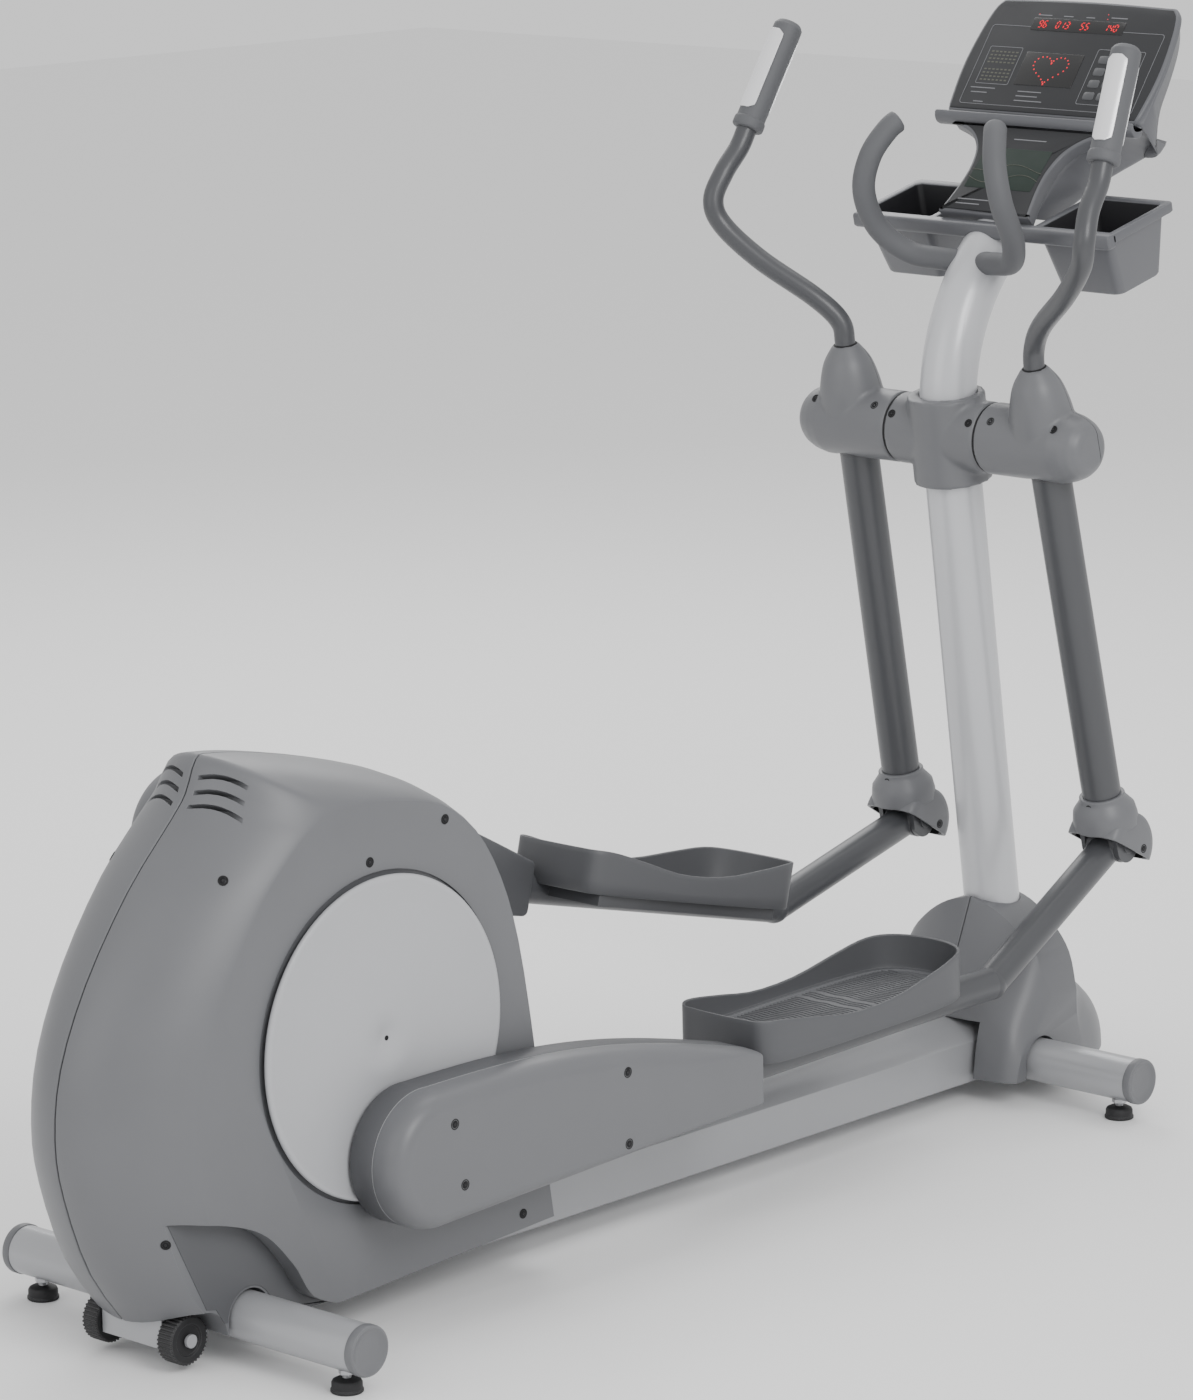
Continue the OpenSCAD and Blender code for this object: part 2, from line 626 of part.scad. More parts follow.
ear_gap = arm_d / 2 + 2;
ear_t = 8;
fork_top = swing_len - 58;
module swing_tube(side) color(ARM_GREY) machine() swing_frame(side) difference() {
    union() {
        along_y(0, 0, sleeve_r, collar_out + 1.2, arm_y + 46);
        translate([0, arm_y, -fork_top - 4]) cylinder(r = swing_d / 2, h = fork_top + 4);
        translate([0, arm_y, 0]) cylinder(r = bar_d / 2 - steel_wall, h = 118);
        for (s = [0, 1]) translate([0, s * (2 * ear_gap + ear_t), 0])
            across(arm_y - ear_gap - ear_t, arm_y - ear_gap) {
                translate([0, -swing_len]) circle(r = 24);
                translate([-24, -swing_len]) square([48, swing_len - fork_top + 6]);
            }
        translate([-24, arm_y - ear_gap - ear_t, -fork_top - 8]) cube([48, 2 * (ear_gap + ear_t), 12]);
        along_y(0, -swing_len, pivot_r, arm_y - ear_gap - ear_t - 3, arm_y + ear_gap + ear_t + 3);
    }
    along_y(0, 0, axle_r + run_gap, 0, cover_end);
    translate([0, arm_y, -fork_top]) difference() {
        cylinder(r = swing_d / 2 - steel_wall, h = fork_top);
        translate([0, 0, fork_top]) rotate([90, 0, 0]) cylinder(r = sleeve_r, h = 200, center = true);
    }
}
module swing_tube_left() swing_tube(1);
module swing_tube_right() swing_tube(-1);

yoke_r = 47;
yoke_out = ear_gap + ear_t + 3;
yoke_t = 8;
module yoke_cover(side) color(CASE_GREY) machine() swing_frame(side) difference() {
    union() {
        for (s = [-1, 1]) translate([0, s * (yoke_out + yoke_t / 2), 0])
            across(arm_y - yoke_t / 2, arm_y + yoke_t / 2) {
                translate([0, -swing_len]) circle(r = yoke_r);
                translate([-yoke_r, -swing_len]) square([yoke_r + 33, swing_len - fork_top + 6]);
            }
        translate([0, arm_y, -fork_top - 6]) cylinder(r = 46, h = 14);
        translate([0, arm_y, -fork_top + 8 - EPS]) cylinder(r1 = 46, r2 = 35, h = 20);
        difference() {
            along_y(0, -swing_len, yoke_r, arm_y - yoke_out, arm_y + yoke_out);
            along_y(0, -swing_len, yoke_r - skin, arm_y - yoke_out - 1, arm_y + yoke_out + 1);
            translate([-100, 0, -swing_len - 100]) cube([100 + 12, 400, 200]);
            translate([-100, 0, -swing_len - 100]) cube([200, 400, 80]);
        }
    }
    translate([0, arm_y, -fork_top - 20]) cylinder(r = swing_d / 2, h = 100);
    translate([-24, arm_y - ear_gap - ear_t, -swing_len])
        cube([48, 2 * (ear_gap + ear_t), swing_len - fork_top + 6]);
}
module yoke_cover_left() yoke_cover(1);
module yoke_cover_right() yoke_cover(-1);

// ---- Moving handlebars, drawn in the frame of the hanging swing tube ----
grip_low = [34, 160, 444];
grip_top = [132, 147, 562];
grip_dir = (grip_top - grip_low) / norm(grip_top - grip_low);
grip_len = norm(grip_top - grip_low) + 8;
bar_path = spline([
    [0, 0, 60], [0, 0, 118], [2, 6, 154], [-12, 38, 194], [-40, 110, 254], [-56, 160, 308],
    [-56, 173, 346], [-30, 168, 382], grip_low - 44 * grip_dir, grip_low - 12 * grip_dir, grip_low
], 4);
module at_grip(along) {
    translate([0, arm_y, 0] + grip_low + along * grip_dir)
        rotate([0, acos(grip_dir[2]), atan2(grip_dir[1], grip_dir[0])]) children();
}
module handlebar(side) color(ARM_GREY) machine() swing_frame(side) difference() {
    union() {
        translate([0, arm_y, 0]) swept_bar([for (p = bar_path) if (p[2] > 100) p], bar_d / 2);
        translate([0, arm_y, 32]) cylinder(r = bar_d / 2 - 0.2, h = 90);
        at_grip(-2) cylinder(r = bar_d / 2 - 0.2, h = grip_len - 4);
    }
    translate([0, arm_y, 0]) cylinder(r = bar_d / 2 - steel_wall, h = 118);
}
module handlebar_left() handlebar(1);
module handlebar_right() handlebar(-1);
module grip(side) color(CASE_GREY) machine() swing_frame(side) at_grip(-14) difference() {
    rotate_extrude() polygon([
        [0, 0], [grip_d / 2, 0], [grip_d / 2 + 2, 5], [grip_d / 2 + 2, 14], [grip_d / 2, 18],
        [grip_d / 2, grip_len + 2], [grip_d / 2 - 4, grip_len + 11], [0, grip_len + 14]
    ]);
    translate([0, 0, -1]) cylinder(r = bar_d / 2, h = grip_len + 9);
}
module grip_left() grip(1);
module grip_right() grip(-1);
plate_len = 128;
module pulse_plates(side) color("#e4e4e6") machine() swing_frame(side) at_grip(14) for (a = [0, 180])
    rotate([0, 0, a + 130]) rotate_extrude(angle = 100)
        translate([grip_d / 2, 0]) square([1.6, plate_len]);
module pulse_plates_left() pulse_plates(1);
module pulse_plates_right() pulse_plates(-1);

// ---- Pedal arms, drawn with X along the rear leg from the crank pin ----
front_leg = arm_len - bend_at;
eye_pos = [leg_len, 0] + polar(norm([front_leg, bend_drop]), leg_drop + atan2(bend_drop, front_leg));
cover_front_h = 40;
cover_rise = 34;
cover_arch = 26;
plate_half = 78;
plate_z = -8;
plate_depth = 16;
module pedal_arm(side) color(ARM_GREY) machine() arm_frame(side) {
    difference() {
        union() {
            bar([0, arm_y, 0], [leg_len, arm_y, 0], arm_d / 2);
            translate([leg_len, arm_y, 0]) sphere(r = arm_d / 2 + 1);
            bar([leg_len, arm_y, 0], [eye_pos[0], arm_y, eye_pos[1]], arm_d / 2);
            along_y(eye_pos[0], eye_pos[1], arm_d / 2 + 1, arm_y - ear_gap + 1, arm_y + ear_gap - 1);
            along_y(0, 0, 34, arm_y - arm_d / 2 + 2, arm_y + arm_d / 2 - 2);
            difference() {
                translate([tray_at + 24, tray_y - plate_half, plate_z])
                    cube([tray_len - 90, plate_half + arm_y - tray_y, plate_depth]);
                translate([tray_at + 28, tray_y - plate_half + 4, plate_z + 4])
                    cube([tray_len - 98, plate_half + arm_y - tray_y - arm_d / 2 - 2, plate_depth]);
            }
            along_y(0, 0, crank_pin_r, disc_out + part_gap, arm_y + arm_d / 2 + 6);
        }
        along_y(eye_pos[0], eye_pos[1], pivot_r + run_gap, 0, 2 * arm_y);
        bar([44, arm_y, 0], [leg_len - 10, arm_y, 0], arm_d / 2 - steel_wall);
        for (x = [110, 280]) translate([tray_at + x, tray_y - 46, plate_z - 1]) {
            cylinder(r = 9, h = plate_depth + 2);
            translate([0, -9, 0]) cube([40, 18, plate_depth + 2]);
            translate([40, 0, 0]) cylinder(r = 9, h = plate_depth + 2);
        }
    }
}
module pedal_arm_left() pedal_arm(1);
module pedal_arm_right() pedal_arm(-1);

module cover_outline(inset) {
    r = cover_r - inset;
    h = cover_front_h - inset;
    lean = asin((cover_r - cover_front_h) / cover_len);
    eye = [0, cover_rise];
    top = eye + polar(r, 90 - lean);
    toe = [cover_len - inset, h];
    polygon(concat(
        arc(eye, r, 90 - lean, 270 + lean, 48), [[cover_len - inset, -h], toe],
        [for (t = [1 / 12:1 / 12:11 / 12]) toe + (top - toe) * t + [0, cover_arch * sin(180 * t)]]
    ));
}
module arm_hole() bar([cover_len - 30, arm_y, 0], [leg_len, arm_y, 0], arm_d / 2 + 0.5);
module arm_cover_inner(side) color(CASE_GREY) machine() arm_frame(side) difference() {
    across(cover_in, cover_split - seam_gap / 2) cover_outline(0);
    across(cover_in + skin, cover_split + 1) cover_outline(skin);
    along_y(0, 0, crank_pin_r + 0.5, cover_in - 1, cover_split);
    arm_hole();
}
module arm_cover_inner_left() arm_cover_inner(1);
module arm_cover_inner_right() arm_cover_inner(-1);
module arm_cover_outer(side) color(CASE_GREY) machine() arm_frame(side) difference() {
    union() {
        across(cover_split + seam_gap / 2, cover_out - 16) cover_outline(0);
        across(cover_out - 16 - EPS, cover_out - 7) cover_outline(3);
        across(cover_out - 7 - EPS, cover_out) cover_outline(9);
    }
    across(cover_split - 1, cover_out - 16) cover_outline(skin);
    across(cover_out - 17, cover_out - skin) cover_outline(9 + skin);
    arm_hole();
}
module arm_cover_outer_left() arm_cover_outer(1);
module arm_cover_outer_right() arm_cover_outer(-1);

tray_z = plate_z + plate_depth;
tray_rear_h = 62;
tray_floor = arm_d / 2 - tray_z + 3;
// Outline and rim are drawn on a tray of this length and width, then scaled
drawn_len = 420;
drawn_w = 168;
tray_outline = spline([
    [0, -40], [6, -66], [40, -80], [150, -84], [290, -84], [372, -76], [408, -48], [420, 0],
    [408, 48], [372, 76], [290, 84], [150, 84], [40, 80], [6, 66], [0, 40]
], 3);
tray_rim = spline([
    [-10, tray_rear_h], [30, tray_rear_h], [90, 52], [160, 40],
    [240, 42], [320, 58], [380, tray_h], [440, tray_h]
], 3);
module tray_shape(inset) {
    offset(delta = -inset)
        polygon([for (p = tray_outline) [p[0] * tray_len / drawn_len, p[1] * tray_w / drawn_w]]);
}
module foot_tray(side) color(ARM_GREY) machine() arm_frame(side) translate([tray_at, tray_y, tray_z])
    intersection() {
        difference() {
            linear_extrude(tray_h) tray_shape(0);
            translate([0, 0, tray_floor]) linear_extrude(tray_h) tray_shape(4.5);
            bar([-20, arm_y - tray_y, -tray_z], [tray_len + 20, arm_y - tray_y, -tray_z], arm_d / 2);
        }
        across(-tray_w, tray_w) polygon([
            [-10, 0], each [for (p = tray_rim) [p[0] * tray_len / drawn_len, p[1]]], [tray_len + 20, 0]
        ]);
    }
module foot_tray_left() foot_tray(1);
module foot_tray_right() foot_tray(-1);

// ---- Fixed handles, accessory tray and console ----
horn_path = spline([
    [0, 0, 0], [-4, 30, -8], [-22, 78, 0], [-58, 108, 38], [-88, 110, 94], [-88, 98, 146],
    [-68, 82, 184], [-52, 71, 199]
], 4);
horn_root = [1612, 18, 1262];
module fixed_handles() color("#6f7073") machine() for (s = [-1, 1])
    on_side(s) translate(horn_root) swept_bar(horn_path, horn_d / 2, 16, 4);

acc_front = [1634, 1306];
acc_rear = [1790, 1343];
acc_tilt = atan2(acc_rear[1] - acc_front[1], acc_rear[0] - acc_front[0]);
acc_depth = norm(acc_rear - acc_front);
acc_drop = 104;
bin_in = 92;
module accessory_tray() color("#77787b") machine() translate([acc_front[0], 0, acc_front[1]])
    rotate([0, -acc_tilt, 0]) difference() {
        union() {
            translate([0, -acc_w / 2, -10]) cube([16, acc_w, 10]);
            for (s = [-1, 1]) on_side(s) {
                translate([0, bin_in, -10]) cube([acc_depth, acc_w / 2 - bin_in, 10]);
                hull() {
                    translate([8, bin_in + 8, -10]) cube([acc_depth - 20, acc_w / 2 - bin_in - 16, 1]);
                    translate([34, bin_in + 18, -acc_drop])
                        cube([acc_depth - 60, acc_w / 2 - bin_in - 40, 1]);
                }
            }
        }
        for (s = [-1, 1]) on_side(s) hull() {
            translate([12, bin_in + 12, 0]) cube([acc_depth - 28, acc_w / 2 - bin_in - 24, 1]);
            translate([38, bin_in + 22, -acc_drop + 4]) cube([acc_depth - 68, acc_w / 2 - bin_in - 48, 1]);
        }
        rotate([0, acc_tilt, 0]) translate([-acc_front[0], 0, -acc_front[1]]) mast_tube(mast_d / 2);
    }

face_w = 352;
face_taper = 14;
bezel = 8;
neck_low = [1658, 1335];

module face_frame() { translate([face_low[0], 0, face_low[1]]) rotate([0, face_tilt, 0]) children(); }
// Front outline of the console, drawn in the (across, up the slope) plane
module face_outline(inset) {
    offset(r = 14) offset(delta = -14 - inset) polygon([
        [-face_w / 2, 0], [face_w / 2, 0], [face_w / 2 - 4, face_h * 0.55],
        [face_w / 2 - face_taper, face_h], [-face_w / 2 + face_taper, face_h],
        [-face_w / 2 + 4, face_h * 0.55]
    ]);
}
module face_plate(x0, x1, inset) {
    translate([x0, 0, 0]) rotate([90, 0, 90]) linear_extrude(x1 - x0) face_outline(inset);
}
module console_housing() color("#8c8d90") machine() difference() {
    face_frame() hull() {
        face_plate(0, 12, -bezel);
        face_plate(case_depth - 1, case_depth, back_in);
    }
    face_frame() face_plate(-10, 4, 2);
    face_frame() translate([6, -face_w / 2 + 20, 16]) cube([case_depth - 16, face_w - 40, face_h - 40]);
}
module console_face() color("#3f4043") machine() face_frame() face_plate(0.5, 4, 2.2);
module console_space() face_frame() translate([0, -face_w, -bezel]) cube([100, 2 * face_w, 2 * face_h]);
module ledge_body() hull() {
    translate([face_low[0] - 22, -console_w / 2, face_low[1] - 14]) cube([8, console_w, 12]);
    translate([face_low[0] + 14, -console_w / 2 + 26, face_low[1] - 26]) cube([10, console_w - 52, 10]);
}
module reading_ledge() color("#97989b") machine() difference() {
    ledge_body();
    translate([face_low[0] - 15, -console_w / 2 + 8, face_low[1] - 9]) cube([13, console_w - 16, 20]);
    console_space();
}
module console_neck() color("#808184") machine() difference() {
    hull() {
        translate([face_low[0] - 16, -88, face_low[1] - 36]) cube([60, 176, 8]);
        translate([face_low[0] + 26, -88, face_low[1] - 36]) cube([40, 176, 30]);
        translate([neck_low[0] + 40, -78, neck_low[1] + 24]) cube([60, 156, 8]);
        translate([neck_low[0], -80, neck_low[1] - 8]) cube([70, 160, 10]);
        translate([neck_low[0] + 30, -50, neck_low[1] - 60]) cube([44, 100, 10]);
    }
    mast_tube(mast_d / 2);
    ledge_body();
    console_space();
}

base_rail();
rear_stabiliser();
front_stabiliser();
stabiliser_end_caps();
wheel_bracket();
wheel_left();
wheel_right();
foot_rear_left();
foot_rear_right();
foot_front_left();
foot_front_right();
foot_lock_nuts();
drive_frame();
crank_bearings();
crank_shaft();
crank_arms();
drive_pulley();
crank_disc_left();
crank_disc_right();
intermediate_pulley();
drive_belts();
alternator_housing();
flywheel();
battery();
control_board();
casing_left();
casing_right();
casing_screws();
shroud_left();
shroud_right();
mast();
mast_neck();
mast_saddle();
swing_axle();
hub_cover_left();
swing_tube_left();
yoke_cover_left();
handlebar_left();
grip_left();
pulse_plates_left();
hub_cover_right();
swing_tube_right();
yoke_cover_right();
handlebar_right();
grip_right();
pulse_plates_right();
pedal_arm_left();
arm_cover_inner_left();
arm_cover_outer_left();
foot_tray_left();
pedal_arm_right();
arm_cover_inner_right();
arm_cover_outer_right();
foot_tray_right();
fixed_handles();
accessory_tray();
console_housing();
console_face();
reading_ledge();
console_neck();
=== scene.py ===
"""Visual model of an elliptical trainer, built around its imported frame.

Every sub-assembly is a class: its fields are sizes in millimetres, build() makes its meshes and dress()
gives them their finishes. Lengths are millimetres until MeshKit places them in the frame, in metres.
"""

import json
import logging
import math
from dataclasses import dataclass, field
from enum import Enum
from typing import Callable, Iterable, Sequence

import bmesh
import bpy
from mathutils import Matrix, Vector

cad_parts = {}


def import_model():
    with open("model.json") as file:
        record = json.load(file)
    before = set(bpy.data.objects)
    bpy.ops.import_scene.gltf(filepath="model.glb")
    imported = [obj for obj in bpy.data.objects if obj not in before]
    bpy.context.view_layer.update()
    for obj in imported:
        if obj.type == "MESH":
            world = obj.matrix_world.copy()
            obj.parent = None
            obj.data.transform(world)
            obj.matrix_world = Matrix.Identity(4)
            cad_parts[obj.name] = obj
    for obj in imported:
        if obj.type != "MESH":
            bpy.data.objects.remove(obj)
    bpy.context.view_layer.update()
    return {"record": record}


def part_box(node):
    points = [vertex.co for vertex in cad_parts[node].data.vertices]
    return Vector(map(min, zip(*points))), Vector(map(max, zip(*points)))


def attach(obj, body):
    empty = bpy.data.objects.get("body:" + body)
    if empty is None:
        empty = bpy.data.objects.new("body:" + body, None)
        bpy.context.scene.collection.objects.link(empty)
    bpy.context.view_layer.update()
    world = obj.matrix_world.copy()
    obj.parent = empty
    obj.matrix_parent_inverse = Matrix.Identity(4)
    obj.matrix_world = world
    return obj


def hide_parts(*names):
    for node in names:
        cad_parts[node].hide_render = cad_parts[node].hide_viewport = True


LOG = logging.getLogger("elliptical")
MM = 0.001
WHEELBASE = 1617.0          # millimetres, between the stabilisers
BAR_HEIGHT = 62.0           # of the stabilisers' axes above the floor
NOTCH_RADIUS = 37.0         # of the openings that the stabilisers pass through
Place = Callable[[Vector], Vector]
Points = Sequence[Sequence[float]]


class Side(Enum):
    """The machine's two sides, with the sign of their Y."""

    LEFT = 1
    RIGHT = -1

    @property
    def word(self) -> str:
        """The side's name as the nodes spell it."""
        return self.name.lower()


# ---- Curves and outlines ----
def polar(radius: float, degrees: float) -> Vector:
    """A 2-D vector of a length and a direction."""
    return Vector((radius * math.cos(math.radians(degrees)), radius * math.sin(math.radians(degrees))))


def spline(points: Points, steps: int, closed: bool = False) -> list[Vector]:
    """Smooth curve through given points.

    Args:
        points: the points to pass through, of any dimension.
        steps: how many pieces each stretch is cut into.
        closed: whether the curve returns to its first point.

    Returns:
        The points along the curve.
    """
    pts = [Vector(p) for p in points]
    count = len(pts)
    spans = count if closed else count - 1
    pick = (lambda i: pts[i % count]) if closed else (lambda i: pts[min(max(i, 0), count - 1)])
    out = []
    for i in range(spans):
        a, b, c, d = pick(i - 1), pick(i), pick(i + 1), pick(i + 2)
        for s in range(steps):
            t = s / steps
            out.append(0.5 * (2 * b + (c - a) * t + (2 * a - 5 * b + 4 * c - d) * t * t
                              + (3 * b - a - 3 * c + d) * t ** 3))
    return out if closed else out + [pts[-1]]


def arc(centre: Sequence[float], radius: float, start: float, end: float, steps: int) -> list[Vector]:
    """Points along a circular arc, between two directions in degrees."""
    return [Vector(centre) + polar(radius, start + (end - start) * i / steps) for i in range(steps + 1)]


def inset_loop(loop: Points, distance: float) -> list[Vector]:
    """A closed outline moved inwards along its own normals.

    Args:
        loop: points of a closed outline in a plane.
        distance: how far the outline moves inwards.

    Returns:
        The moved outline, with as many points.
    """
    pts = [Vector(p[:2]) for p in loop]
    count = len(pts)
    area = sum(pts[i - 1].cross(pts[i]) for i in range(count))
    turn = 1 if area > 0 else -1
    out = []
    for i, p in enumerate(pts):
        tangent = (pts[(i + 1) % count] - pts[i - 1]).normalized()
        out.append(p + turn * distance * Vector((-tangent.y, tangent.x)))
    return out


def rounded_box(low: Sequence[float], high: Sequence[float], radius: float, steps: int = 5) -> list[Vector]:
    """Outline of a rectangle with round corners, between its low and high corner."""
    corners = (((high[0] - radius, high[1] - radius), 0), ((low[0] + radius, high[1] - radius), 90),
               ((low[0] + radius, low[1] + radius), 180), ((high[0] - radius, low[1] + radius), 270))
    return [p for centre, start in corners for p in arc(centre, radius, start, start + 90, steps)]


# ---- Meshes ----
class MeshKit:
    """One mesh under construction, drawn in a sub-assembly's own millimetres."""

    def __init__(self, place: Place) -> None:
        """Starts an empty mesh.

        Args:
            place: moves a point from the sub-assembly's millimetres to the frame's metres.
        """
        self.mesh = bmesh.new()
        self.place = place

    def ring(self, points: Points) -> list[bmesh.types.BMVert]:
        """Adds one ring of vertices."""
        return [self.mesh.verts.new(self.place(Vector(p))) for p in points]

    def skin(self, rings: Sequence[Points], capped: bool = True, looped: bool = False) -> "MeshKit":
        """Skins closed rings that have the same number of points.

        Args:
            rings: the rings, in order.
            capped: whether the first and last ring are closed with a face.
            looped: whether the last ring joins the first one.

        Returns:
            This kit.
        """
        made = [self.ring(r) for r in rings]
        pairs = list(zip(made, made[1:])) + ([(made[-1], made[0])] if looped else [])
        for low, high in pairs:
            for i in range(len(low)):
                j = (i + 1) % len(low)
                self.mesh.faces.new((low[i], low[j], high[j], high[i]))
        if capped and not looped:
            self.mesh.faces.new(list(reversed(made[0])))
            self.mesh.faces.new(made[-1])
        return self

    def lathe(self, profile: Points, base: Sequence[float], axis: Sequence[float],
              sides: int = 64) -> "MeshKit":
        """Turns a closed profile of (radius, height) points about an axis through base."""
        turn = Vector(axis).normalized().to_track_quat("Z", "Y").to_matrix()
        rings = []
        for radius, height in profile:
            rings.append([Vector(base) + turn @ Vector((*polar(max(radius, 0.01), 360 * k / sides), height))
                          for k in range(sides)])
        return self.skin(rings)

    def tube(self, path: Points, radius: Callable[[float], float], sides: int = 32) -> "MeshKit":
        """Sweeps a circle along a path; radius gives its size for a share of the path from 0 to 1."""
        pts = [Vector(p) for p in path]
        last = len(pts) - 1
        start = (pts[1] - pts[0]).normalized()
        u = start.orthogonal().normalized()
        rings = []
        for i, p in enumerate(pts):
            along = (pts[min(i + 1, last)] - pts[max(i - 1, 0)]).normalized()
            u = (u - along * u.dot(along)).normalized()
            w = along.cross(u)
            r = radius(i / last)
            rings.append([p + r * (math.cos(a) * u + math.sin(a) * w)
                          for a in (2 * math.pi * k / sides for k in range(sides))])
        return self.skin(rings)

    def across(self, outline: Points, layers: Sequence[tuple[float, float]]) -> "MeshKit":
        """Stacks a (forward, up) outline across the machine.

        Args:
            outline: the closed outline.
            layers: pairs of a Y and how far the outline is moved inwards there.

        Returns:
            This kit.
        """
        rings = []
        for y, inset in layers:
            loop = inset_loop(outline, inset) if inset else [Vector(p[:2]) for p in outline]
            rings.append([Vector((p.x, y, p.y)) for p in loop])
        return self.skin(rings)

    def piece(self, name: str, sharp: float = 35.0) -> bpy.types.Object:
        """Closes the mesh and returns it as an object that shades smooth below an angle."""
        bmesh.ops.recalc_face_normals(self.mesh, faces=self.mesh.faces)
        mesh = bpy.data.meshes.new(name)
        self.mesh.to_mesh(mesh)
        self.mesh.free()
        obj = bpy.data.objects.new(name, mesh)
        bpy.context.scene.collection.objects.link(obj)
        smooth(obj, sharp)
        return obj


def smooth(obj: bpy.types.Object, sharp: float) -> None:
    """Shades a mesh smooth, keeping edges sharper than an angle in degrees."""
    obj.data.shade_smooth()
    obj.data.set_sharp_from_angle(angle=math.radians(sharp))


def apply_modifiers(obj: bpy.types.Object, sharp: float = 35.0) -> None:
    """Turns an object's modifiers into mesh."""
    bpy.context.view_layer.update()
    graph = bpy.context.evaluated_depsgraph_get()
    mesh = bpy.data.meshes.new_from_object(obj.evaluated_get(graph))
    obj.modifiers.clear()
    old, obj.data = obj.data, mesh
    bpy.data.meshes.remove(old)
    smooth(obj, sharp)


def round_edges(obj: bpy.types.Object, width: float, angle: float = 40.0, segments: int = 3) -> None:
    """Rounds an object's sharp edges by a width in millimetres."""
    bevel = obj.modifiers.new("round", "BEVEL")
    bevel.width = width * MM
    bevel.segments = segments
    bevel.limit_method = "ANGLE"
    bevel.angle_limit = math.radians(angle)
    bevel.use_clamp_overlap = True
    bevel.harden_normals = False
    apply_modifiers(obj)


def carve(obj: bpy.types.Object, cutters: Iterable[bpy.types.Object]) -> None:
    """Cuts the shapes of other objects out of an object, and removes them."""
    for cutter in cutters:
        cut = obj.modifiers.new("cut", "BOOLEAN")
        cut.operation = "DIFFERENCE"
        cut.solver = "EXACT"
        cut.object = cutter
        apply_modifiers(obj)
        bpy.data.objects.remove(cutter)


def slit(obj: bpy.types.Object, point: Vector, normal: Vector, width: float) -> None:
    """Parts a shell along a plane, leaving a seam of a width in millimetres."""
    mesh = bmesh.new()
    mesh.from_mesh(obj.data)
    half = normal.normalized() * width * MM / 2
    for offset in (-half, half):
        geometry = mesh.verts[:] + mesh.edges[:] + mesh.faces[:]
        bmesh.ops.bisect_plane(mesh, geom=geometry, plane_co=point + offset, plane_no=normal)
    near, along = half.length * 0.9, normal.normalized()
    inside = [f for f in mesh.faces if abs((f.calc_center_median() - point).dot(along)) < near]
    bmesh.ops.delete(mesh, geom=inside, context="FACES")
    mesh.to_mesh(obj.data)
    mesh.free()
    smooth(obj, 35)


def softened_copy(node: str, name: str, voxel: float, rounds: int) -> bpy.types.Object:
    """A moulded version of a CAD shell, with its inside corners filleted.

    Args:
        node: the CAD node to start from.
        name: the new piece's name.
        voxel: size of the remesh, in millimetres.
        rounds: how many times the surface is smoothed.

    Returns:
        The new piece.
    """
    obj = bpy.data.objects.new(name, bpy.data.objects[node].data.copy())
    bpy.context.scene.collection.objects.link(obj)
    obj.data.materials.clear()
    remesh = obj.modifiers.new("remesh", "REMESH")
    remesh.mode = "VOXEL"
    remesh.voxel_size = voxel * MM
    relax = obj.modifiers.new("relax", "SMOOTH")
    relax.factor = 0.5
    relax.iterations = rounds
    apply_modifiers(obj, 60)
    return obj


# ---- Finishes ----
def linear(code: str) -> tuple[float, float, float, float]:
    """Turns an sRGB hex colour into the linear colour that shaders take."""
    channels = (int(code.lstrip("#")[i:i + 2], 16) / 255 for i in (0, 2, 4))
    return (*(c / 12.92 if c <= 0.04045 else ((c + 0.055) / 1.055) ** 2.4 for c in channels), 1.0)


def add_node(tree: bpy.types.NodeTree, kind: str, settings: dict, inputs: dict) -> bpy.types.Node:
    """Adds a shader node.

    Args:
        tree: the node tree to add to.
        kind: the node's type.
        settings: values for the node's own properties.
        inputs: for each socket, a value or another node's output socket.

    Returns:
        The new node.
    """
    made = tree.nodes.new(kind)
    for key, value in settings.items():
        setattr(made, key, value)
    for key, value in inputs.items():
        if isinstance(value, bpy.types.NodeSocket):
            tree.links.new(value, made.inputs[key])
        else:
            made.inputs[key].default_value = value
    return made


WAVE_PERIOD = 6.283         # a wave texture repeats after this many of its own units
EDGE_RADIUS = 1.4           # millimetres, of the rounding that shading gives every edge
GLOSS_SPREAD = 0.12         # share by which a surface's roughness wanders


class Relief(Enum):
    """How a surface was made, which sets the pattern of its relief."""

    MOULDED = "spark-eroded mould texture"
    COATED = "powder-coat orange peel"
    BRUSHED = "brush lines along the piece"
    RIBBED = "fine moulded ribs"
    PLAIN = "polished or printed surface"


